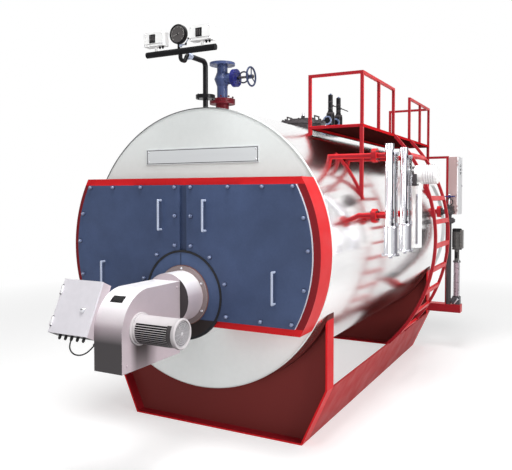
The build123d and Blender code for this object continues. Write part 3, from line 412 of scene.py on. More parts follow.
def burner_paint():
    """Silver hammer paint with painted light and shade: near-white top faces, and a painted shadow of the
    motor on the side below it. The flat lower front is dark grey as a painted reflection, and the duct's open
    shoulder is dark grey as a painted shadow of the housing."""
    made = Finish("burner_paint", SILVER, 0.2, 0.36, specular_ior_level=0.3)
    # Painted light: near-white top faces
    made.on_faces("Z", 0.15, 0.80, SILVER_LIT_TOP)
    made.cloud(0.06, 4.0).cloud(0.04, 300.0)
    # Painted reflection: the flat lower front is dark grey
    front = made.facing("Y", -0.72, -0.96)
    below = made.along("Z", BURNER_ROUND_Z + 0.08, BURNER_ROUND_Z - 0.06)
    made.cover(made.both(front, below, made.along("Y", DUCT_START_Y - 0.002, DUCT_START_Y - 0.004)), IRON)
    # Painted shadow of the housing on the duct's open shoulder
    side_x = high("burner_housing").x
    shoulder = made.both(made.along("Y", DUCT_START_Y + 0.004, DUCT_START_Y + 0.002), front,
                         made.along("X", side_x - 0.004, side_x))
    made.cover(made.both(shoulder, made.along("Y", DUCT_START_Y - 0.004, DUCT_START_Y - 0.002)), IRON)
    # Painted shadow of the motor on the housing's side, fading downwards
    motor = middle("burner_motor")
    fading = made.ramp(made.part_of("Z"), motor.z - 0.10, motor.z - 0.30, 1.0, 0.45)
    motor_shadow = made.both(made.along("Y", motor.y - 0.10, motor.y - 0.03), made.facing("X", 0.6, 0.9),
                      made.along("Y", motor.y + 0.20, motor.y + 0.07),
                      made.along("Z", motor.z - 0.06, motor.z - 0.10), fading)
    made.cover(motor_shadow, srgb(52, 43, 42))
    made.cover(made.along("Y", DUCT_FLANGE_Y - 0.002, DUCT_FLANGE_Y), FLANGE_BROWN)
    made.rough(0.28, 0.44, 12.0)
    made.round_edges(0.006, srgb(226, 222, 222), 0.4)
    return made.bump(210.0, 0.0005, 0.4).done()


def yoke_paint():
    """A bright blue bonnet with a dark yoke."""
    made = cast("yoke_enamel", BONNET_BLUE, BONNET_CHIP)
    yoke = low("steam_valve_bonnet").x + BONNET_DEPTH
    made.cover(made.along("X", yoke, yoke + 0.003), srgb(28, 32, 52))
    return made.done()


def pump_paint():
    """Dull sleeve between a dark base and a dark lantern and motor."""
    made = Finish("pump_paint", srgb(74, 74, 78), 0.6, 0.32)
    made.cover(made.along("Z", PUMP_LANTERN_Z - 0.008, PUMP_LANTERN_Z), srgb(84, 82, 80))
    sleeve = made.both(made.along("Z", PUMP_BASE_Z, PUMP_BASE_Z + 0.004),
                       made.along("Z", PUMP_LANTERN_Z + 0.002, PUMP_LANTERN_Z - 0.002))
    made.cover(sleeve, srgb(150, 132, 140))
    made.cloud(0.08, 16.0).rough(0.22, 0.4, 22.0)
    made.round_edges(0.003)
    return made.bump(140.0, 0.0004, 0.15).done()


def controller_paint():
    """White lacquer with a dark end bell towards the shell."""
    made = Finish("controller_paint", WHITE, 0.1, 0.25, coat_weight=0.5, coat_roughness=0.08)
    bell_end = low("level_controller").x + CONTROLLER_BELL
    head_foot = high("level_controller").z - CONTROLLER_HEAD
    bell = made.along("X", bell_end + 0.002, bell_end - 0.002)
    made.cover(made.both(bell, made.along("Z", head_foot - 0.002, head_foot)), IRON)
    made.cloud(0.04, 8.0).rough(0.16, 0.32, 14.0)
    made.round_edges(0.003)
    return made.bump(160.0, 0.0005, 0.3).done()


def column_steel():
    """Polished tube, grey along the side away from the shell as painted shade."""
    made = Finish("column_steel", srgb(214, 214, 219), 1.0, 0.16)
    made.on_faces("X", 0.45, 0.85, srgb(128, 125, 133))
    made.cloud(0.05, 5.0, (1, 1, 0.2)).rough(0.08, 0.22, 20.0, (1, 1, 0.1))
    made.round_edges(0.003)
    return made.bump(70.0, 0.0003, 0.25, (1, 1, 0.08)).done()


def clear_glass():
    made = Finish("clear_glass", srgb(172, 174, 180), 0.0, 0.03, transmission_weight=1.0, ior=1.47)
    made.rough(0.01, 0.06, 40.0)
    return made.bump(60.0, 0.0002, 0.2).done()


def dark_glass():
    made = Finish("dark_glass", srgb(16, 16, 19), 0.0, 0.14, specular_ior_level=0.25)
    return made.cloud(0.2, 30.0).rough(0.10, 0.2, 60.0).done()


def rubber():
    made = Finish("black_rubber", srgb(24, 23, 25), 0.0, 0.6, specular_ior_level=0.35)
    made.cloud(0.15, 25.0).rough(0.48, 0.7, 40.0)
    return made.bump(300.0, 0.0005, 0.4).done()


red = front_shaded(painted("red_paint", RED, RED_CHIP))
rim_red = rim_paint()
front_saddle_red = saddle_paint("front_saddle")
rear_saddle_red = saddle_paint("rear_saddle")
# Painted shade: the sills are a darker red
sill_red = painted("sill_paint", srgb(174, 44, 46), RED_CHIP, coat=0.0, gloss=0.02).done()
nozzle_red = painted("nozzle_paint", srgb(92, 24, 32), srgb(60, 18, 22)).done()
platform_red = front_shaded(red_shaded_below("platform_paint"))
floor_plate = floor_paint()
door_blue = door_paint("door_paint")
strip_blue = door_paint("strip_paint", srgb(54, 66, 94))
# Painted sheen: the burner plate is a lighter blue than the doors
burner_plate_blue = door_paint("burner_plate_paint", srgb(72, 88, 122), True)
plate_grey = painted("plate_paint", PLATE_GREY, srgb(150, 152, 152), (0.34, 0.5), 0.025, 0.1).done()
jacket = jacket_sheet()
lip_steel = lip_paint()
burner_silver = burner_paint()
burner_plain = painted("burner_plain", SILVER).done()
# Painted shade: the control box is black on the faces that look down, and its case is a darker grey than its
# door
case_grey = dark_below("case_paint", srgb(190, 178, 184), srgb(226, 222, 226), BLACK, -0.60, -0.85)
box_grey = dark_below("box_paint", srgb(214, 211, 217), srgb(236, 236, 238), BLACK, -0.60, -0.85)
hinge_pale = plastic("hinge_pale", srgb(238, 238, 240)).done()
# Painted shade: the motor is dark grey on the faces that look down
motor_grey = dark_below("motor_paint", srgb(198, 193, 195), MOTOR_CHIP, srgb(84, 76, 78), -0.05, -0.90)
dark_iron = painted("dark_iron", IRON, srgb(120, 116, 116), (0.35, 0.5), 0.08, 0.1).done()
valve_blue = cast("valve_enamel", srgb(66, 78, 118), VALVE_CHIP).done()
bonnet_blue = cast("bonnet_enamel", BONNET_BLUE, BONNET_CHIP).done()
yoke_blue = yoke_paint()
wheel_blue = cast("wheel_enamel", srgb(42, 52, 82), VALVE_CHIP).done()
black = painted("black_paint", BLACK, srgb(80, 78, 80), (0.24, 0.4), 0.12, 0.10).done()
white = plastic("white_cover", WHITE).done()
bright = metal("bright_steel", STEEL).done()
bolt_steel = metal("bolt_steel", srgb(168, 168, 176), (0.2, 0.36)).done()
door_bolt = painted("door_bolt_paint", srgb(98, 110, 142), None, (0.14, 0.24), 0.05, 0.6, 0.5).done()
# Painted shadow: the washers under the door bolts are dark blue
washer_shade_blue = painted("washer_shade_paint", srgb(40, 49, 74), None, (0.3, 0.45), 0.05, 0.1, 0.2).done()
handle_steel = painted("handle_paint", srgb(168, 177, 198), None, (0.2, 0.34), 0.04, 0.2, 0.4).done()
grille_grey = plastic("grille_grey", srgb(138, 135, 138)).done()
grille_pale = plastic("grille_pale", srgb(196, 193, 196)).done()
panel_steel = metal("panel_steel", srgb(178, 156, 155), (0.30, 0.44), (1, 1, 0.06)).done()
panel_pale = painted("panel_paint", srgb(226, 226, 228), srgb(170, 170, 172), (0.34, 0.48), 0.03, 0.1).done()
plate_metal = metal("plate_metal", srgb(206, 208, 210), (0.3, 0.42), (0.05, 1, 1)).done()
gasket_black = plastic("gasket_black", srgb(7, 9, 18), (0.6, 0.75)).done()
gasket_brown = plastic("gasket_brown", srgb(118, 74, 64), (0.55, 0.7)).done()
pump_grey = pump_paint()
controller_white = controller_paint()
floor_steel = metal("floor_steel", srgb(150, 146, 146), (0.32, 0.5)).done()
column = column_steel()
glass = clear_glass()
window = dark_glass()
black_rubber = rubber()
dial_grey = plastic("dial_grey", srgb(74, 70, 70)).done()
dial_mark = plastic("dial_mark", srgb(206, 204, 200)).done()

NODE_FINISHES = [
    (jacket, "shell_jacket", "burner_drum"),
    (plate_grey, "front_end_plate", "rear_end_plate", "rear_smoke_box"),
    (rim_red, "smoke_box"),
    (strip_blue, "door_centre_strip"),
    (door_blue, "left_smoke_door", "right_smoke_door", "rear_cover"),
    (handle_steel, "door_handles"),
    (burner_plate_blue, "burner_plate"),
    (gasket_black, "burner_gasket"),
    (plate_metal, "name_plate"),
    (burner_silver, "burner_duct", "burner_housing"),
    (motor_grey, "burner_motor", "motor_fan_cowl"),
    (case_grey, "control_box_case"),
    (box_grey, "control_box_door"),
    (black_rubber, "cable_glands", "burner_cable", "housing_gland"),
    (front_saddle_red, "front_saddle"),
    (rear_saddle_red, "rear_saddle"),
    (sill_red, "side_sills"),
    (nozzle_red, "steam_nozzle"),
    (valve_blue, "steam_valve_body"),
    (yoke_blue, "steam_valve_bonnet"),
    (wheel_blue, "steam_valve_wheel"),
    (black, "gauge_riser", "gauge_manifold", "pressure_gauge", "safety_valves"),
    (white, "pressure_switches"),
    (dark_iron, "manhole", "feed_pipe", "flue_collar"),
    (floor_plate, "platform_floor"),
    (platform_red, "platform_frame"),
    (red, "platform_brackets", "side_railings", "end_railings", "ladder", "level_pipes", "pump_beam",
     "panel_post", "panel_stay", "feed_nozzle"),
    (column, "level_columns"),
    (glass, "gauge_glasses"),
    (controller_white, "level_controller"),
    (pump_grey, "feed_pump"),
    (bonnet_blue, "feed_valve_wheel"),
    (panel_steel, "control_panel_case"),
    (panel_pale, "control_panel_door"),
]


def dress_nodes():
    for finish, *names in NODE_FINISHES:
        for name in names:
            slots = nodes[name].data.materials
            slots.clear()
            slots.append(finish)


# Mesh pieces

def stand(point, direction):
    """A place at a point whose z axis runs along a direction."""
    return at(Vector(point)) @ Vector(direction).to_track_quat("Z", "Y").to_matrix().to_4x4()


def side_on(x, y, z):
    """A place where an outline's x and y run along Y and Z, and its depth along X."""
    return Matrix(((0, 0, 1, x), (1, 0, 0, y), (0, 1, 0, z), (0, 0, 0, 1)))


def arc_band(inner, outer, start, end, steps):
    """An outline between two arcs about one centre."""
    angles = [start + (end - start) * i / steps for i in range(steps + 1)]
    return [polar(inner, angle) for angle in angles] + [polar(outer, angle) for angle in angles[::-1]]


class Piece:
    """A mesh piece made of several closed shapes, each in a finish of its own."""

    def __init__(self, name):
        self.name = name
        self.finishes = []
        self.mesh = bmesh.new()

    def index(self, finish):
        if finish not in self.finishes:
            self.finishes.append(finish)
        return self.finishes.index(finish)

    def take(self, points, faces, place, finish):
        verts = [self.mesh.verts.new(place @ Vector(point)) for point in points]
        made = [self.mesh.faces.new([verts[i] for i in face]) for face in faces]
        slot = self.index(finish)
        for face in made:
            face.material_index = slot
        return made

    def lathe(self, profile, place, finish, sides=24):
        """Turns (radius, height) points about the place's z axis. A profile off the axis closes on itself."""
        points = []
        rings = []
        for radius, height in profile:
            if radius == 0:
                rings.append([len(points)] * sides)
                points.append((0, 0, height))
                continue
            rings.append(range(len(points), len(points) + sides))
            points += [(*polar(radius, math.tau * i / sides), height) for i in range(sides)]
        if profile[0][0] > 0:
            rings.append(rings[0])
        faces = []
        for first, second in zip(rings, rings[1:]):
            for i in range(sides):
                j = (i + 1) % sides
                corners = [first[i], first[j], second[j], second[i]]
                faces.append(list(dict.fromkeys(corners)))
        self.take(points, faces, place, finish)

    def ring(self, radii, heights, place, finish, sides=24, ease=None):
        """A ring, or a disc from radius 0, whose upper outer edge may be cut by a height and a width."""
        inner, outer = radii
        foot, top = heights
        edge = [(outer, top - ease[0]), (outer - ease[1], top)] if ease else [(outer, top)]
        self.lathe([(inner, foot), (outer, foot), *edge, (inner, top)], place, finish, sides)

    def block(self, size, place, finish, bevel=0.0, segments=2):
        """A box about the place's origin, with rounded edges."""
        half = Vector(size) / 2
        points = [(x * half.x, y * half.y, z * half.z) for x in SIDES for y in SIDES for z in SIDES]
        faces = [(0, 1, 3, 2), (4, 6, 7, 5), (0, 4, 5, 1), (2, 3, 7, 6), (0, 2, 6, 4), (1, 5, 7, 3)]
        made = self.take(points, faces, place, finish)
        if bevel:
            edges = {edge for face in made for edge in face.edges}
            bmesh.ops.bevel(self.mesh, geom=list(edges), offset=bevel, segments=segments,
                            affect="EDGES", profile=0.5, material=self.index(finish))

    def prism(self, outline, depth, place, finish):
        """An outline of (x, y) points raised from height 0 to the depth."""
        count = len(outline)
        points = [(x, y, height) for height in (0, depth) for x, y in outline]
        faces = [list(range(count)), list(range(count, 2 * count))]
        for i in range(count):
            j = (i + 1) % count
            faces.append((i, j, count + j, count + i))
        self.take(points, faces, place, finish)

    def rod(self, start, end, radius, finish, sides=16):
        """A round bar between two points, with eased ends."""
        start, end = Vector(start), Vector(end)
        length = (end - start).length
        ease = radius * 0.2
        profile = [(0, 0), (radius - ease, 0), (radius, ease), (radius, length - ease),
                   (radius - ease, length), (0, length)]
        self.lathe(profile, stand(start, end - start), finish, sides)

    def done(self, slot, body="boiler", replaces=()):
        """Turns the mesh into an object, puts it under its body and hides the parts it replaces."""
        bmesh.ops.recalc_face_normals(self.mesh, faces=self.mesh.faces)
        for face in self.mesh.faces:
            face.smooth = True
        for edge in self.mesh.edges:
            edge.smooth = edge.calc_face_angle(0.0) < SHARP_ANGLE
        data = bpy.data.meshes.new(self.name)
        self.mesh.to_mesh(data)
        self.mesh.free()
        for finish in self.finishes:
            data.materials.append(finish)
        made = bpy.data.objects.new(self.name, data)
        bpy.context.scene.collection.objects.link(made)
        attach(made, body)
        if replaces:
            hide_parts(*replaces)


def nut(piece, place, across, finish):
    """A washer, a hexagon nut with an eased top, and the end of its stud."""
    corner = across / math.sqrt(3)
    seat = 0.12 * across
    top = 0.72 * across
    tip = 0.86 * across
    piece.ring((0, 0.62 * across), (0, seat), place, finish, 16)
    piece.ring((0, corner), (seat, top), place, finish, HEXAGON, (0.12 * across, corner - 0.45 * across))
    piece.ring((0, 0.27 * across), (top, tip), place, finish, 12, (0.05 * across, 0.08 * across))


def cap_nut(piece, place, across, finish, washer_finish):
    """A domed hexagon nut on a washer."""
    corner = across / math.sqrt(3)
    seat = 0.10 * across
    shoulder = 0.55 * across
    dome = 0.46 * across
    piece.ring((0, 0.74 * across), (0, seat), place, washer_finish, 20, (0.4 * seat, 0.06 * across))
    hexagon = [(0, seat), (corner, seat), (corner, shoulder), (dome, shoulder + 0.06 * across), (0, shoulder)]
    piece.lathe(hexagon, place, finish, HEXAGON)
    bulge = [polar(dome, angle) for angle in (0.0, 0.35, 0.7, 1.05, 1.35)]
    crown = [(out, shoulder + rise) for out, rise in bulge]
    piece.lathe([(0, shoulder), *crown, (0, shoulder + dome)], place, finish, 16)


def screw(piece, place, radius, finish):
    """A low round head."""
    crown = [(radius, 0), (radius, 0.35 * radius), (0.7 * radius, 0.65 * radius)]
    piece.lathe([(0, 0), *crown, (0, 0.75 * radius)], place, finish, 14)


def bolt_circle(piece, place, radius, count, across, finish, start=None):
    """Nuts round a circle, half a step on from the place's x axis unless a start angle is given."""
    first = math.pi / count if start is None else start
    for i in range(count):
        nut(piece, place @ at((*polar(radius, first + math.tau * i / count), 0)), across, finish)


def flange_pair(piece, centre, axis, half, radius, count, across, finish):
    """Nuts on both faces of a bolted flange."""
    for way in (axis, -axis):
        bolt_circle(piece, stand(Vector(centre) + way * half, way), radius, count, across, finish)


# Cable from the control box to the burner housing
CABLE_ROUTE = [
    (-0.288, -1.4320, 1.0069),
    (-0.288, -1.4467, 0.9763),
    (-0.273, -1.4500, 0.9429),
    (-0.245, -1.4440, 0.9209),
    (-0.209, -1.4280, 0.9159),
    (-0.178, -1.4080, 0.9279),
    (-0.155, -1.3900, 0.9509),
    (-0.135, -1.3750, 0.9789),
]
CABLE_DIAMETER = 0.010


def make_cable():
    """A tube along the route, held by a gland at each end."""
    data = bpy.data.curves.new("burner_cable_cord", "CURVE")
    data.dimensions = "3D"
    data.bevel_depth = CABLE_DIAMETER / 2
    data.bevel_resolution = 4
    data.use_fill_caps = True
    line = data.splines.new("NURBS")
    line.points.add(len(CABLE_ROUTE) - 1)
    for point, place in zip(line.points, CABLE_ROUTE):
        point.co = (*place, 1.0)
    line.order_u = 3
    line.use_endpoint_u = True
    line.resolution_u = 12
    data.materials.append(black_rubber)
    cable = bpy.data.objects.new("burner_cable_cord", data)
    bpy.context.scene.collection.objects.link(cable)
    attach(cable, "boiler")
    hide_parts("burner_cable")


# Smoke box doors: bolts as (distance from the middle, height over the shell's axis)
DOOR_NUT = 27 * MM
DOOR_BOLTS = [
    (0.075, 0.498), (0.410, 0.498), (0.700, 0.498), (0.945, 0.498),
    (1.030, 0.274), (1.065, 0.040), (1.035, -0.243),
    (0.075, 0.272), (0.075, 0.040),
    (0.250, -0.041), (0.381, -0.240), (0.395, -0.487),
    (0.687, -0.497), (0.939, -0.495),
]
REAR_BOLTS = DOOR_BOLTS[:7] + DOOR_BOLTS[11:]
LIP_WIDTH = 8 * MM
LIP_PROUD = 5 * MM
BORDER_INSET = 7 * MM
BORDER_LINE = 5 * MM
BORDER_PROUD = 1.2 * MM
BORDER_SCREW = 18 * MM


def make_door_bolts():
    """Cap nuts round the front doors and the rear cover, alike on both sides."""
    for name, bolts, y, way in (("door_bolts", DOOR_BOLTS, DOOR_FACE, FRONT),
                                ("rear_cover_bolts", REAR_BOLTS, high("rear_cover").y, REAR)):
        piece = Piece(name)
        for side in SIDES:
            for x, rise in bolts:
                cap_nut(piece, stand((side * x, y, AXIS_Z + rise), way), DOOR_NUT, door_bolt, washer_shade_blue)
        piece.done("bright_steel")


def make_jacket_lips():
    """Rolled edges of the jacket at both ends."""
    lips = Piece("jacket_lips")
    radii = (SHELL_R - LIP_WIDTH, SHELL_R - 0.001)
    ease = (0.4 * LIP_PROUD, 0.003)
    for y, way in ((low("front_end_plate").y, FRONT), (high("rear_end_plate").y, REAR)):
        lips.ring(radii, (0, LIP_PROUD), stand((0, y, AXIS_Z), way), lip_steel, 160, ease)
    lips.done("jacket_steel")


def make_name_plate_border():
    """A thin dark border and four screws on the bare plate."""
    start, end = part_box("name_plate")
    centre = middle("name_plate")
    centre.y = start.y - BORDER_PROUD / 2
    wide = end.x - start.x - 2 * BORDER_INSET
    tall = end.z - start.z - 2 * BORDER_INSET
    border = Piece("name_plate_border")
    for side in SIDES:
        level = centre + UP * (side * (tall - BORDER_LINE) / 2)
        upright = centre + RIGHT * (side * (wide - BORDER_LINE) / 2)
        border.block((wide, BORDER_PROUD, BORDER_LINE), at(level), black, 0.0004, 1)
        border.block((BORDER_LINE, BORDER_PROUD, tall - 2 * BORDER_LINE), at(upright), black, 0.0004, 1)
        x = centre.x + side * (wide / 2 - BORDER_SCREW)
        for rise in SIDES:
            z = centre.z + rise * (tall / 2 - BORDER_SCREW)
            screw(border, stand((x, start.y, z), FRONT), 0.007, bright)
    border.done("plate_grey")


# Burner. Panes of its display: finish, left and right edges, foot and top in degrees, and how proud
DISPLAY_PANES = [
    (black, -54 * MM, 50 * MM, 46, 58, 1.5 * MM),
    (window, -48 * MM, 44 * MM, 47.3, 56.7, 3 * MM),
]
DISPLAY_DEPTH = 3 * MM
DISPLAY_STEPS = 8
SPLIT_X = -20 * MM
DUCT_R = (high("burner_duct").x - low("burner_duct").x) / 2
DUCT_FLANGE_FACE = 197 * MM
MOTOR_R = 98 * MM
MOTOR_CORE_R = 94 * MM
MOTOR_FLANGE = 14 * MM
MOTOR_SHIELD = 18 * MM
MOTOR_FIN_PITCH = 14.5 * MM
MOTOR_FIN_GAP = 11.4 * MM
MOTOR_FIN_ROWS = 10
MOTOR_FIN_TOP = 52 * MM
MOTOR_CAP_STEPS = 12
COWL_FINS = 10 * MM
COWL_BAND = 36 * MM
GRILLE_DEPTH = 12 * MM
GRILLE_WIRE = 2.2 * MM
GRILLE_RINGS = 6
GRILLE_SPOKES = 12


def make_burner_display():
    """A dark window in a black frame, bent to the housing's rounded front."""
    display = Piece("burner_display")
    for finish, left, right, foot, top, proud in DISPLAY_PANES:
        band = arc_band(BURNER_ROUND - DISPLAY_DEPTH, BURNER_ROUND + proud,
                        math.radians(180 - foot), math.radians(180 - top), DISPLAY_STEPS)
        display.prism(band, right - left, side_on(left, BURNER_ROUND_Y, BURNER_ROUND_Z), finish)
    display.done("glass")


def make_burner_screws():
    start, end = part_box("burner_housing")
    foot = start.z + 0.05
    back = end.y - 0.04
    screws = Piece("burner_screws")
    for x, way in ((end.x, RIGHT), (start.x, LEFT)):
        for y, z in ((start.y + 0.05, foot), (back, foot), (back, end.z - 0.04)):
            screw(screws, stand((x, y, z), way), 0.010, burner_plain)
    screws.done("burner_silver")


def make_burner_joint():
    """Flange bolts and the edge of the gasket between duct and burner plate."""
    x, _, z = middle("burner_duct")
    joint = Piece("burner_flange_bolts")
    face = stand((x, DUCT_START_Y + DUCT_FLANGE_FACE, z), FRONT)
    bolt_circle(joint, face, DUCT_R - 0.019, 6, 0.017, bright)
    seat = stand((x, low("burner_plate").y, z), FRONT)
    joint.ring((DUCT_R - 0.03, DUCT_R + 0.005), (0, 0.005), seat, gasket_brown, 72)
    joint.done("bright_steel")


def make_plate_split():
    """The dark joint in the burner plate above the duct."""
    top = high("burner_plate").z - 0.004
    foot = middle("burner_duct").z + DUCT_R
    split = Piece("burner_plate_split")
    centre = (SPLIT_X, low("burner_plate").y - 0.0006, (top + foot) / 2)
    split.block((0.004, 0.002, top - foot), at(centre), black, 0.0005, 1)
    split.done("door_blue")


def motor_cap(corner, side):
    """The smooth arc that closes the body below or above the slots."""
    start = math.atan2(corner[1], corner[0])
    sweep = 2 * abs(math.atan2(corner[1] * side, corner[0] * side)) - math.pi
    return [polar(MOTOR_R, start + sweep * i / MOTOR_CAP_STEPS) for i in range(1, MOTOR_CAP_STEPS)]


def motor_outline():
    """A round body with level cooling slots cut into its front and back."""
    rows = [MOTOR_FIN_TOP - MOTOR_FIN_PITCH * i for i in range(MOTOR_FIN_ROWS)]
    outline = []
    for side in (1, -1):
        for row in rows[::side]:
            for height in (row + side * MOTOR_FIN_GAP / 2, row - side * MOTOR_FIN_GAP / 2):
                out = side * math.sqrt(MOTOR_R ** 2 - height ** 2)
                inner = side * math.sqrt(MOTOR_CORE_R ** 2 - height ** 2)
                pair = [(out, height), (inner, height)]
                outline += pair if height * side > row * side else pair[::-1]
        outline += motor_cap(outline[-1], side)
    return outline


def finned_body(piece, start, length, finish, core_finish):
    """A length of the slotted body, from a point on the motor's axis. Its core is black in the slots as
    painted shade.
    """
    piece.prism(motor_outline(), length, side_on(*start), finish)
    piece.ring((0, MOTOR_CORE_R + 0.001), (0, length), stand(start, RIGHT), core_finish, 64)


def make_motor():
    """Flange, end shield and slotted body of the burner's fan motor."""
    start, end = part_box("burner_motor")
    _, y, z = middle("burner_motor")
    rim = (end.z - start.z) / 2
    shield = MOTOR_FLANGE + MOTOR_SHIELD
    here = stand((start.x, y, z), RIGHT)
    motor = Piece("burner_fan_motor")
    motor.ring((0, rim), (0, MOTOR_FLANGE), here, motor_grey, 64, (0.003, 0.003))
    motor.ring((0, MOTOR_R + 0.003), (MOTOR_FLANGE, shield), here, motor_grey, 64, (0.004, 0.007))
    finned_body(motor, Vector((start.x + shield, y, z)), end.x - start.x - shield, motor_grey, black)
    bolt_circle(motor, stand((start.x + MOTOR_FLANGE, y, z), RIGHT), rim - 0.006, 4, 0.008, bright)
    motor.done("motor_grey", replaces=("burner_motor",))


def make_cowl():
    """The ends of the fins, a dark band of painted shade under a curved cover, and the fan's cowl with its
    wire grille.
    """
    start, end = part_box("motor_fan_cowl")
    base = middle("motor_fan_cowl")
    base.x = start.x
    here = stand(base, RIGHT)
    rim = (end.z - start.z) / 2
    length = end.x - start.x
    lip = COWL_FINS + COWL_BAND
    floor = length - GRILLE_DEPTH
    cowl = Piece("burner_motor_cowl")
    finned_body(cowl, base, COWL_FINS, motor_grey, black)
    # Painted shade: the dark band, kept grey on top by the cover
    cowl.ring((0, MOTOR_R - 0.002), (COWL_FINS, lip), here, dark_iron, 64)
    slope = math.asin((MOTOR_FIN_TOP + MOTOR_FIN_GAP) / MOTOR_R)
    cover = arc_band(MOTOR_R, MOTOR_R - 0.006, slope, math.pi - slope, 16)
    cowl.prism(cover, COWL_BAND, side_on(*(base + RIGHT * COWL_FINS)), motor_grey)
    cowl.lathe([(0, lip), (rim - 0.005, lip), (rim - 0.003, lip + 0.003), (rim - 0.003, length - 0.020),
                (rim, length - 0.016), (rim, length - 0.005), (rim - 0.004, length), (rim - 0.013, length),
                (rim - 0.018, length - 0.004), (rim - 0.018, floor), (0, floor)], here, motor_grey, 64)
    cowl.ring((0, rim - 0.019), (floor, floor + 0.001), here, grille_grey, 48)
    wire = [polar(GRILLE_WIRE, math.tau * k / 8) for k in range(8)]
    for i in range(GRILLE_RINGS):
        radius = 0.012 + (rim - 0.034) * i / (GRILLE_RINGS - 1)
        cowl.lathe([(radius + out, floor + 0.004 + rise) for out, rise in wire], here, grille_pale, 48)
    hub = base + RIGHT * (floor + 0.003)
    for i in range(GRILLE_SPOKES):
        out = Vector((0, *polar(1, math.tau * i / GRILLE_SPOKES)))
        cowl.rod(hub + out * 0.010, hub + out * (rim - 0.018), 0.8 * GRILLE_WIRE, grille_pale, 8)
    cowl.ring((0, 0.012), (floor, floor + 0.008), here, grille_pale, 24, (0.002, 0.004))
    cowl.done("motor_grey", replaces=("motor_fan_cowl",))


# Control box on the burner, which leans back: places on it are (across, into the box, up its front)
BOX_LEAN = (0.9011, 0.4337)
BOX_CORNER = (-0.464, -1.469, 1.058)
BOX_PLACE = at(BOX_CORNER) @ Matrix(((1, 0, 0, 0), (0, BOX_LEAN[0], BOX_LEAN[1], 0),
                                     (0, -BOX_LEAN[1], BOX_LEAN[0], 0), (0, 0, 0, 1)))
LATCH_PLACE = (0.250, 0.0, 0.176)
HINGE_PLACES = ((0.0095, -0.0040, 0.080), (0.0095, -0.0040, 0.305))
HINGE_LENGTH = 62 * MM
GLAND_FIRST = 68 * MM
GLAND_PITCH = 54 * MM
GLAND_DEPTH = 55.5 * MM
GLAND_COUNT = 5
GLAND_R = 9.5 * MM
GLAND_RIDGES = 10


def make_box_latch():
    latch = Piece("control_box_latch")
    here = BOX_PLACE @ stand(LATCH_PLACE, FRONT)
    knob = [(0, 0), (0.019, 0), (0.019, 0.003), (0.016, 0.006), (0.016, 0.010), (0.012, 0.014), (0, 0.015)]
    latch.lathe(knob, here, bright, 28)
    latch.block((0.016, 0.004, 0.003), here @ at((0, 0, 0.0150)), black, 0.0006, 1)
    latch.done("bright_steel", "control_box_door")


def make_box_hinges():
    hinges = Piece("control_box_hinges")
    for place in HINGE_PLACES:
        bar = BOX_PLACE @ at(place)
        hinges.block((0.015, 0.008, HINGE_LENGTH), bar, hinge_pale, 0.003)
        for end in SIDES:
            tip = bar @ at((0, 0, end * (HINGE_LENGTH / 2 + 0.002)))
            hinges.block((0.012, 0.006, 0.006), tip, black, 0.0015, 1)
    hinges.done("bright_steel", "control_box_door")


def make_cable_glands():
    """Glands under the box: a hexagon and a ridged cap that narrows to the cable."""
    glands = Piece("cable_gland_row")
    cap = [(0, 0.008), (GLAND_R, 0.008), (GLAND_R, 0.020), (0.0088, 0.024), (0.0066, 0.030), (0, 0.030)]
    for i in range(GLAND_COUNT):
        here = BOX_PLACE @ stand((GLAND_FIRST + GLAND_PITCH * i, GLAND_DEPTH, 0.0), DOWN)
        glands.ring((0, 0.0115), (0, 0.008), here, black_rubber, HEXAGON)
        glands.lathe(cap, here, black_rubber, 20)
        for k in range(GLAND_RIDGES):
            angle = math.tau * k / GLAND_RIDGES
            ridge = here @ at((*polar(GLAND_R, angle), 0.015)) @ Matrix.Rotation(angle, 4, "Z")
            glands.block((0.0018, 0.0018, 0.010), ridge, black_rubber)
    glands.done("black_rubber", replaces=("cable_glands",))


# Gauge and switches over the front
GAUGE_TICKS = 41
GAUGE_FIRST = math.radians(225)
GAUGE_SWEEP = math.radians(270)
GAUGE_NEEDLE = math.radians(200)
GAUGE_BEZEL = 11 * MM
SWITCH_WIDE = 186 * MM
SWITCH_TALL = 108 * MM
SWITCH_TICKS = 9


def make_gauge():
    """Bezel, dial, ticks and needle of the pressure gauge."""
    start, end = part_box("pressure_gauge")
    radius = (end.x - start.x) / 2
    centre = Vector(((start.x + end.x) / 2, start.y, end.z - radius))
    here = stand(centre, FRONT)
    dial = radius - GAUGE_BEZEL
    gauge = Piece("gauge_face")
    gauge.lathe([(dial, 0), (radius - 0.0005, 0), (radius - 0.0005, 0.004), (radius - 0.004, 0.008),
                 (radius - 0.009, 0.008), (dial, 0.004)], here, black, 64)
    gauge.ring((0, dial), (0, 0.002), here, dial_grey, 64)

    def on_dial(angle, distance, proud):
        across, rise = polar(distance, angle)
        return centre + Vector((across, -proud, rise))

    for i in range(GAUGE_TICKS):
        angle = GAUGE_FIRST - GAUGE_SWEEP * i / (GAUGE_TICKS - 1)
        long, wide = (0.012, 0.0022) if i % 5 == 0 else (0.006, 0.0011)
        place = at(on_dial(angle, dial - 0.003 - long / 2, 0.0023)) @ Matrix.Rotation(-angle, 4, "Y")
        gauge.block((long, 0.001, wide), place, dial_mark)
    gauge.rod(on_dial(GAUGE_NEEDLE, -0.22 * radius, 0.0045), on_dial(GAUGE_NEEDLE, 0.55 * radius, 0.0045),
              0.0013, dial_mark, 8)
    gauge.ring((0, 0.007), (0.002, 0.0075), here, black, 24, (0.0025, 0.003))
    gauge.done("black_paint")


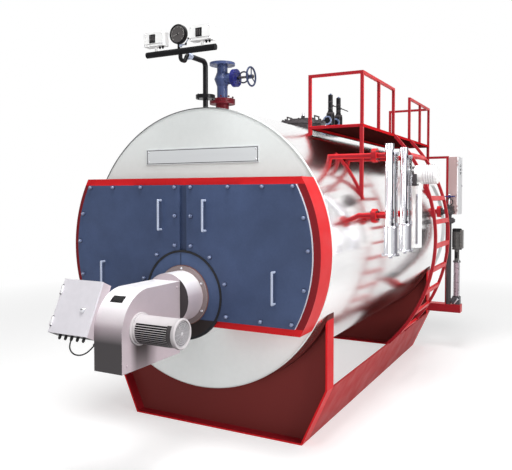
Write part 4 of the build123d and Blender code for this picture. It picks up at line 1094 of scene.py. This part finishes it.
def make_gauge_cock():
    """A test cock under the gauge, with its lever."""
    foot = middle("gauge_manifold")
    foot.x = middle("pressure_gauge").x + 0.018
    foot.z = high("gauge_manifold").z + 0.012
    cock = Piece("gauge_cock")
    cock.ring((0, 0.013), (0, 0.022), stand(foot + DOWN * 0.004, UP), handle_steel, HEXAGON, (0.004, 0.004))
    cock.rod(foot + UP * 0.012, foot + UP * 0.012 + RIGHT * 0.045, 0.006, handle_steel)
    grips = (dark_iron, handle_steel, dark_iron)
    bends = ((0.044, 0.006), (0.050, 0.024), (0.068, 0.050), (0.074, 0.060))
    lever = [foot + Vector((x, 0, z)) for x, z in bends]
    for first, second, radius, finish in zip(lever, lever[1:], (0.008, 0.004, 0.008), grips):
        cock.rod(first, second, radius, finish)
    cock.done("bright_steel")


def make_switch_trim():
    """Scale windows, cover screws, the cover's joint and cable entries of both pressure switches."""
    start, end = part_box("pressure_switches")
    bottom = end.z - SWITCH_TALL
    entry = [(0, 0), (0.010, 0), (0.010, 0.008), (0.007, 0.010), (0.007, 0.018), (0, 0.018)]
    trim = Piece("switch_windows")
    for left in (start.x, end.x - SWITCH_WIDE):
        centre = Vector((left + 0.084, start.y, (end.z + bottom) / 2 + 0.004))
        trim.block((0.056, 0.004, 0.066), at(centre + FRONT * 0.001), black, 0.001)
        trim.block((0.046, 0.004, 0.056), at(centre + FRONT * 0.0018), window, 0.0008)
        for shift in (-0.011, 0.009):
            trim.block((0.006, 0.002, 0.044), at(centre + Vector((shift, -0.0042, 0))), dial_grey, 0.0004)
            for k in range(SWITCH_TICKS):
                tick = centre + Vector((shift + 0.006, -0.0042, -0.020 + 0.005 * k))
                trim.block((0.004, 0.0016, 0.001), at(tick), dial_grey)
        for x in (0.012, SWITCH_WIDE - 0.012):
            for z in (bottom + 0.012, end.z - 0.012):
                screw(trim, stand((left + x, start.y, z), FRONT), 0.005, bright)
        joint = at((left + SWITCH_WIDE / 2, start.y, bottom + 0.018))
        trim.block((SWITCH_WIDE - 0.004, 0.003, 0.0015), joint, dial_grey, 0.0003)
        for x in (0.130, 0.158):
            trim.lathe(entry, stand((left + x, (start.y + end.y) / 2, bottom), DOWN), black, 16)
    trim.done("white_paint")


# Flange bolts: places of the joints
STEAM_FLANGE = 22 * MM
RISER_JOINT = (0, -0.181, 2.806)
MANHOLE_RIM_Z = 2.814
SAFETY_YS = (2.701, 2.987)
SAFETY_BODY_Z = (2.834, 2.994)
LEVEL_JOINT_X = 1.257
LEVEL_JOINT_YS = (0.436, 0.901)
LEVEL_JOINT_ZS = (1.825, 2.322)
CONTROLLER_JOINT = (1.272, 1.346, 1.825)
FEED_JOINT = (1.296, 3.5322, 1.673)
FEED_ELBOW = (1.194, 3.5322, 1.785)
FLUE_FLANGE = 20 * MM


def make_crown_bolts():
    """Nuts of the joints on top of the shell."""
    bolts = Piece("crown_flange_bolts")
    steam = middle("steam_nozzle")
    steam.z = high("steam_nozzle").z - STEAM_FLANGE / 2
    flange_pair(bolts, steam, UP, STEAM_FLANGE, 0.090, 8, 0.015, nozzle_red)
    flange_pair(bolts, RISER_JOINT, UP, 0.016, 0.060, 4, 0.012, black)
    cover = middle("manhole")
    bolt_circle(bolts, stand((cover.x, cover.y, MANHOLE_RIM_Z), UP), 0.228, 16, 0.024, dark_iron)
    for y in SAFETY_YS:
        bolt_circle(bolts, stand((0, y, SAFETY_BODY_Z[0]), UP), 0.0625, 4, 0.016, black)
    bolts.done("black_paint")


def make_side_bolts():
    """Nuts of the level, controller and feed pipe joints."""
    bolts = Piece("side_flange_bolts")
    for y in LEVEL_JOINT_YS:
        for z in LEVEL_JOINT_ZS:
            flange_pair(bolts, (LEVEL_JOINT_X, y, z), RIGHT, 0.020, 0.045, 4, 0.013, dark_iron)
    flange_pair(bolts, CONTROLLER_JOINT, RIGHT, 0.020, 0.045, 4, 0.014, dark_iron)
    flange_pair(bolts, FEED_JOINT, UP, 0.022, 0.054, 4, 0.018, dark_iron)
    bolt_circle(bolts, stand(FEED_ELBOW, RIGHT), 0.054, 4, 0.018, dark_iron)
    bolts.done("black_paint")


def make_flue_bolts():
    start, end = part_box("flue_collar")
    centre = middle("flue_collar")
    centre.y = end.y - FLUE_FLANGE
    bolts = Piece("flue_flange_bolts")
    bolt_circle(bolts, stand(centre, FRONT), (end.x - start.x) / 2 - 0.025, 16, 0.020, bright, start=0.0)
    bolts.done("bright_steel")


# Valve stems
YOKE_BOSS = 16 * MM
STEM_R = 9 * MM
WHEEL_HUB = 22 * MM
THREAD_PITCH = 4 * MM
STEAM_YOKE = 36 * MM
FEED_YOKE = 116.3 * MM


def stem_trim(piece, place, nut_circle, across, ring, nut_finish, stem_finish):
    """Bonnet nuts, the stem's thread inside the yoke and the hexagon nut that keeps the wheel."""
    bolt_circle(piece, place, nut_circle, 4, across, nut_finish)
    turns = int(2 * ring / THREAD_PITCH)
    thread = []
    for i in range(turns):
        height = YOKE_BOSS + THREAD_PITCH * i
        thread += [(STEM_R + 0.0004, height), (STEM_R + 0.0016, height + THREAD_PITCH / 2)]
    piece.lathe([(0, YOKE_BOSS), *thread, (0, YOKE_BOSS + THREAD_PITCH * turns)], place, stem_finish, 16)
    keeper = 2 * (YOKE_BOSS + ring) + WHEEL_HUB + 0.002
    piece.ring((0, 0.0166), (keeper, keeper + 0.010), place, stem_finish, HEXAGON, (0.003, 0.0021))


def make_stem_trim():
    """Nuts and threads of the steam valve and of the feed valve."""
    steam = middle("steam_valve_bonnet")
    steam.x = low("steam_valve_bonnet").x + STEAM_YOKE
    trim = Piece("steam_stem_trim")
    stem_trim(trim, stand(steam, RIGHT), 0.062, 0.015, 0.046, bonnet_blue, dark_iron)
    trim.done("valve_blue")
    feed = middle("feed_valve_wheel")
    feed.z = low("feed_valve_wheel").z - FEED_YOKE
    trim = Piece("feed_stem_trim")
    stem_trim(trim, stand(feed, UP), 0.042, 0.010, 0.042, dark_iron, bright)
    trim.done("bright_steel")


# Crown fittings
SIPHON_UNION = (0.0, -0.412, 3.095)
SAFETY_CAP_Z = 3.239
SAFETY_OUTLET_Z = 2.914
SAFETY_OUTLET = 110 * MM
SAFETY_LEVER_TILT = math.radians(24)
GRIP_SPREAD = 165 * MM
GRIP_RISE = 55 * MM
GRIP_DROP = 42 * MM


def make_siphon_union():
    union = Piece("siphon_union")
    here = stand(SIPHON_UNION, FRONT)
    sleeve = [(0, -0.020), (0.024, -0.020), (0.026, -0.016), (0.026, -0.006), (0, -0.006)]
    union.lathe(sleeve, here, handle_steel, 20)
    union.ring((0, 0.031), (-0.006, 0.018), here, handle_steel, HEXAGON, (0.004, 0.004))
    union.lathe([(0, 0.018), (0.022, 0.018), (0.020, 0.030), (0, 0.030)], here, handle_steel, 20)
    union.done("bright_steel")


def make_safety_trim():
    """Flanges, bonnets, cap nuts, outlets and lifting levers of both safety valves."""
    trim = Piece("safety_valve_trim")
    foot, shoulder = SAFETY_BODY_Z
    neck = shoulder + 0.028
    outlet = [(0.034, -0.016), (0.054, -0.016), (0.056, -0.014), (0.056, -0.002), (0.054, 0), (0.034, 0)]
    for y in SAFETY_YS:
        here = stand((0, y, 0), UP)
        trim.ring((0.040, 0.058), (foot, foot + 0.020), here, black, 32, (0.006, 0.006))
        trim.ring((0, 0.052), (shoulder, neck), here, dark_iron, HEXAGON, (0.006, 0.006))
        trim.lathe([(0, neck), (0.036, neck), (0.033, neck + 0.022), (0, neck + 0.022)], here, black)
        for share in (0.30, 0.62):
            band = shoulder + (SAFETY_CAP_Z - shoulder) * share
            trim.ring((0.027, 0.031), (band, band + 0.008), here, dark_iron)
        trim.ring((0, 0.016), (SAFETY_CAP_Z, SAFETY_CAP_Z + 0.016), here, door_bolt, HEXAGON, (0.006, 0.006))
        trim.lathe(outlet, stand((0, y - SAFETY_OUTLET, SAFETY_OUTLET_Z), FRONT), door_bolt, 36)
        pivot = Vector((0.030, y, shoulder + 0.110))
        trim.block((0.012, 0.030, 0.026), at(pivot), dark_iron, 0.003)
        lever = at(pivot + Vector((0.050, 0, -0.020))) @ Matrix.Rotation(SAFETY_LEVER_TILT, 4, "Y")
        trim.block((0.110, 0.009, 0.012), lever, black, 0.003)
    trim.done("black_paint")


def make_manhole_trim():
    """The bridge's stud and nut, and two grips on the cover."""
    x, y, _ = middle("manhole")
    bridge = Vector((x, y, high("manhole").z))
    cover = Piece("manhole_trim")
    cover.rod(bridge, bridge + UP * 0.060, 0.014, bright)
    nut(cover, stand(bridge, UP), 0.040, dark_iron)
    for side in SIDES:
        grip = bridge + RIGHT * (side * GRIP_SPREAD) + DOWN * GRIP_DROP
        top = grip + UP * GRIP_RISE
        for leg in (FRONT * 0.06, REAR * 0.06):
            cover.rod(grip + leg, top + leg, 0.008, dark_iron)
        cover.rod(top + FRONT * 0.067, top + REAR * 0.067, 0.008, dark_iron)
    cover.done("black_paint")


# Platform
TREAD_PITCH = 46 * MM
TREAD_LENGTH = 34 * MM
TREAD_WIDTH = 8 * MM
TREAD_PROUD = 1.4 * MM


def make_tread():
    """Raised lozenges of a chequer plate, turned this way and that."""
    start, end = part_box("platform_floor")
    centre = middle("platform_floor")
    rows = int((end.y - start.y - TREAD_PITCH) / TREAD_PITCH)
    columns = int((end.x - start.x - 2 * TREAD_PITCH) / TREAD_PITCH)
    lozenge = [(-TREAD_LENGTH / 2, 0), (0, -TREAD_WIDTH / 2), (TREAD_LENGTH / 2, 0), (0, TREAD_WIDTH / 2)]
    tread = Piece("platform_tread")
    for row in range(rows):
        for place in range(columns):
            x = centre.x + (place - (columns - 1) / 2) * TREAD_PITCH
            y = centre.y + (row - (rows - 1) / 2) * TREAD_PITCH
            turn = math.pi / 4 if (row + place) % 2 else -math.pi / 4
            tread.prism(lozenge, TREAD_PROUD, at((x, y, end.z)) @ Matrix.Rotation(turn, 4, "Z"), floor_steel)
    tread.done("floor_steel")


# Water level columns and controller
CHAMBER_R = 56 * MM
CHAMBER_RISE = 242 * MM
GLASS_X = 1.432
GLASS_FOOT_Z = 1.742
GLASS_TOP_Z = 2.345
GUARD_SPREAD = 24 * MM
GUARD_OUT = 6 * MM
HEAD_R = 88 * MM
HEAD_RIBS = 5
HEAD_RIB_PITCH = 22 * MM
HEAD_RIB_FIRST = 30 * MM


def column_foot(piece, here, radius):
    """A bolted foot flange with a drain plug under it."""
    piece.ring((radius - 0.004, radius + 0.016), (0, 0.015), here, column, 40, (0.003, 0.003))
    bolt_circle(piece, here @ at((0, 0, 0.015)), radius + 0.008, 6, 0.009, bolt_steel, 0.3)
    plug = [(0, -0.022), (0.013, -0.022), (0.015, -0.018), (0.015, -0.006), (0, -0.006)]
    piece.lathe(plug, here, bolt_steel, HEXAGON)
    piece.ring((0, 0.020), (-0.006, 0), here, bolt_steel, 20)


def make_column_trim():
    """Foot flanges, collars, and the nuts and guard rods of the gauge glasses."""
    start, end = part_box("level_columns")
    x = end.x - CHAMBER_R
    trim = Piece("level_column_trim")
    for y in (start.y + CHAMBER_R, end.y - CHAMBER_R):
        column_foot(trim, stand((x, y, start.z), UP), CHAMBER_R)
        collar = stand((x, y, start.z + CHAMBER_RISE), UP)
        trim.ring((0.030, CHAMBER_R + 0.004), (-0.014, 0.003), collar, column, 40, (0.006, 0.003))
        for z, way in ((GLASS_FOOT_Z, UP), (GLASS_TOP_Z, DOWN)):
            gland = stand((GLASS_X, y, z), way)
            trim.ring((0.0155, 0.0225), (0, 0.028), gland, bolt_steel, HEXAGON, (0.006, 0.0035))
        clamp = Vector((GLASS_X + GUARD_OUT, y, GLASS_TOP_Z - 0.010))
        for side in SIDES:
            guard = clamp + REAR * (side * GUARD_SPREAD)
            trim.rod((guard.x, guard.y, GLASS_FOOT_Z), guard, 0.0035, dark_iron, 10)
        trim.block((0.014, 0.058, 0.010), at(clamp), bolt_steel, 0.002)
    trim.done("white_paint")


def make_controller_trim():
    """Ribs of the head, a plate under it and a box on its front, dark as painted shade, and the indicator
    rail down the float chamber.
    """
    start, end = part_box("level_controller")
    head = Vector((start.x + CONTROLLER_BELL, (start.y + end.y) / 2, end.z - HEAD_R))
    trim = Piece("level_controller_trim")
    foot, crest = HEAD_R - 0.002, HEAD_R + 0.0045
    rib = [(foot, -0.005), (crest, -0.003), (crest, 0.003), (foot, 0.005)]
    for i in range(HEAD_RIBS):
        x = end.x - HEAD_RIB_FIRST - HEAD_RIB_PITCH * i
        trim.lathe(rib, stand((x, head.y, head.z), RIGHT), grille_pale, 48)
    # A plate under the head and a box on its front, dark as painted shade
    trim.block((0.096, 0.118, 0.014), at(head + Vector((-0.010, -0.030, -HEAD_R - 0.010))), dark_iron, 0.004)
    trim.block((0.100, 0.046, 0.112), at(head + Vector((-0.024, -HEAD_R - 0.004, -0.052))), dark_iron, 0.008)
    for drop in (0.020, 0.075):
        screw(trim, stand(head + Vector((-0.012, -HEAD_R - 0.027, -drop)), FRONT), 0.006, bolt_steel)
    bolt_circle(trim, stand(head + RIGHT * 0.001, RIGHT), HEAD_R - 0.004, 8, 0.008, bolt_steel, 0.2)
    rail = Vector((start.x + 0.082, head.y - 0.047, start.z + 0.270))
    trim.block((0.022, 0.010, 0.470), at(rail), bolt_steel, 0.003)
    trim.block((0.012, 0.004, 0.450), at(rail + FRONT * 0.004), grille_grey, 0.001)
    screw(trim, stand(rail + Vector((0, -0.005, 0.229)), FRONT), 0.007, bolt_steel)
    trim.done("white_paint")


# Feed pump and panel
PUMP_X = 1.388
PUMP_MOTOR_R = 54 * MM
PUMP_MOTOR_Z = (1.308, 1.566)
PUMP_FINS = 26
TERMINAL_SIDE = 0.70
STAY_BOLTS = 4
STAY_R = 42.5 * MM
SPOUT = Vector((0.050, -0.020, 0.070))
BUTTON_ZS = (2.374, 2.326, 2.278)
BUTTON_FACE = 8 * MM


def make_pump_trim():
    """Motor fins clear of the terminal box, motor caps, sleeve collars, stay bolts, windows and a spout."""
    foot_z, top_z = PUMP_MOTOR_Z
    base = Vector((PUMP_X, middle("feed_pump").y, 0))
    here = at(base)
    trim = Piece("feed_pump_trim")
    fins = here @ at((0, 0, (foot_z + top_z) / 2 - 0.006))
    for i in range(PUMP_FINS):
        angle = math.tau * (i + 0.5) / PUMP_FINS
        if math.cos(angle) <= TERMINAL_SIDE:
            fin = fins @ Matrix.Rotation(angle, 4, "Z") @ at((PUMP_MOTOR_R + 0.002, 0, 0))
            trim.block((0.008, 0.0028, top_z - foot_z - 0.060), fin, dark_iron, 0.0008, 1)
    trim.ring((0.040, 0.060), (foot_z - 0.004, foot_z + 0.012), here, dark_iron, 36)
    trim.lathe([(0, top_z - 0.034), (0.058, top_z - 0.034), (0.058, top_z - 0.004), (0.050, top_z + 0.006),
                (0, top_z + 0.008)], here, black, 36)
    for z in (PUMP_BASE_Z, PUMP_LANTERN_Z):
        trim.ring((0.030, 0.046), (z - 0.010, z + 0.012), here, dark_iron, 36, (0.004, 0.004))
    for i in range(STAY_BOLTS):
        foot = base + Vector((*polar(STAY_R, math.tau * (i + 0.5) / STAY_BOLTS), 0))
        trim.rod(foot + UP * (PUMP_BASE_Z + 0.004), foot + UP * (PUMP_LANTERN_Z + 0.024), 0.0045, bright, 10)
        nut(trim, stand(foot + UP * (PUMP_LANTERN_Z + 0.012), UP), 0.011, bright)
    for side in SIDES:
        trim.block((0.030, 0.004, 0.080), here @ at((0, side * 0.0288, PUMP_LANTERN_Z + 0.085)), black, 0.001)
    spout = base + Vector((-0.020, -0.048, low("feed_pump").z + 0.010))
    trim.rod(spout, spout + SPOUT, 0.011, bright, 14)
    trim.ring((0, 0.017), (0, 0.016), stand(spout + SPOUT * 0.8, SPOUT), bright, HEXAGON)
    trim.done("pump_grey")


def make_panel_trim():
    """Black button caps in bezels, a lock and a bare plate, all on the panel's door."""
    end = high("control_panel_door")
    _, y, lock_z = middle("control_panel_case")
    face = end.x - BUTTON_FACE
    trim = Piece("panel_buttons")
    for z in BUTTON_ZS:
        here = stand((face, y, z), RIGHT)
        trim.ring((0.0115, 0.022), (0, 0.005), here, bright, 28, (0.002, 0.003))
        trim.ring((0, 0.0165), (0.0045, 0.0105), here, black, 24, (0.0025, 0.0025))
    lock = stand((face, end.y - 0.030, lock_z), RIGHT)
    barrel = [(0, 0), (0.015, 0), (0.015, 0.003), (0.012, 0.006), (0.012, 0.010), (0, 0.011)]
    trim.lathe(barrel, lock, bright, 24)
    trim.block((0.012, 0.003, 0.002), lock @ at((0, 0, 0.011)), black)
    trim.block((0.0016, 0.090, 0.026), at((face + 0.0008, y, BUTTON_ZS[0] + 0.050)), plate_metal, 0.0004, 1)
    trim.done("bright_steel", "panel_door")


# Floor and light
FLOOR_SIZE = 160.0
FLOOR_DROP = 0.5 * MM
WORLD_LIGHT = 0.26
FLOOR_COLOUR = (0.58, 0.58, 0.58, 1.0)
FLOOR_GLOW = 0.52
FAR_FROM = 4.0
FAR_TO = 9.0
LAMP_TARGET = Vector((0.0, 1.0, 1.4))
LAMPS = [
    ("key", (8.0, -2.0, 3.8), 4.0, 420),
    ("top", (1.0, -1.2, 8.0), 4.0, 540),
    ("front", (1.0, -9.5, 0.9), 5.0, 270),
]


def seen_ray(graph):
    """1 for rays from the camera, from mirrors and through glass, and 0 for the rest."""
    path = graph.add("LightPath").outputs
    shown = graph.maths("MAXIMUM", path["Is Camera Ray"], path["Is Glossy Ray"])
    return graph.maths("MAXIMUM", shown, path["Is Transmission Ray"])


def make_world():
    world = bpy.data.worlds.new("studio")
    world.use_nodes = True
    graph = Graph(world.node_tree)
    back = world.node_tree.nodes["Background"]
    back.inputs["Color"].default_value = (1, 1, 1, 1)
    graph.feed(back.inputs["Strength"], graph.ramp(seen_ray(graph), 0.0, 1.0, WORLD_LIGHT, 1.0))
    bpy.context.scene.world = world


def floor_finish():
    """A pale floor with the part's shadow near it, which fades to white far off."""
    material = bpy.data.materials.new("studio_floor")
    material.use_nodes = True
    tree = material.node_tree
    tree.nodes.remove(tree.nodes["Principled BSDF"])
    graph = Graph(tree)
    seen = seen_ray(graph)
    matt = graph.add("BsdfDiffuse", Color=FLOOR_COLOUR)
    glow = graph.add("Emission", Strength=graph.both(seen, FLOOR_GLOW))
    near = graph.fed("AddShader", (), matt.outputs[0], glow.outputs[0])
    middle_point = middle("shell_jacket") * Vector((1, 1, 0))
    distance = graph.vectors("DISTANCE", graph.add("TexCoord").outputs["Object"], middle_point)
    share = graph.both(graph.ramp(distance, FAR_FROM, FAR_TO), seen)
    mixed = graph.fed("MixShader", (), share, near.outputs[0])
    graph.feed(mixed.inputs[2], graph.add("Emission").outputs[0])
    graph.feed(tree.nodes["Material Output"].inputs["Surface"], mixed.outputs[0])
    return material


def make_floor():
    """A wide floor just below the part."""
    mesh = bmesh.new()
    bmesh.ops.create_grid(mesh, x_segments=2, y_segments=2, size=FLOOR_SIZE / 2)
    data = bpy.data.meshes.new("studio_floor")
    mesh.to_mesh(data)
    mesh.free()
    floor = bpy.data.objects.new("studio_floor", data)
    floor.location = (0, 0, -FLOOR_DROP)
    bpy.context.scene.collection.objects.link(floor)
    data.materials.append(floor_finish())


def make_lamps():
    for name, place, size, power in LAMPS:
        data = bpy.data.lights.new(name, "AREA")
        data.shape = "DISK"
        data.size = size
        data.energy = power
        lamp = bpy.data.objects.new(name, data)
        lamp.location = place
        lamp.rotation_euler = (LAMP_TARGET - Vector(place)).to_track_quat("-Z", "Y").to_euler()
        bpy.context.scene.collection.objects.link(lamp)


bpy.context.scene.view_settings.view_transform = "Standard"
make_camera()
dress_nodes()
make_cable()
make_door_bolts()
make_jacket_lips()
make_name_plate_border()
make_burner_display()
make_burner_screws()
make_burner_joint()
make_plate_split()
make_motor()
make_cowl()
make_box_latch()
make_box_hinges()
make_cable_glands()
make_gauge()
make_gauge_cock()
make_switch_trim()
make_crown_bolts()
make_side_bolts()
make_flue_bolts()
make_stem_trim()
make_siphon_union()
make_safety_trim()
make_manhole_trim()
make_tread()
make_column_trim()
make_controller_trim()
make_pump_trim()
make_panel_trim()
make_world()
make_floor()
make_lamps()
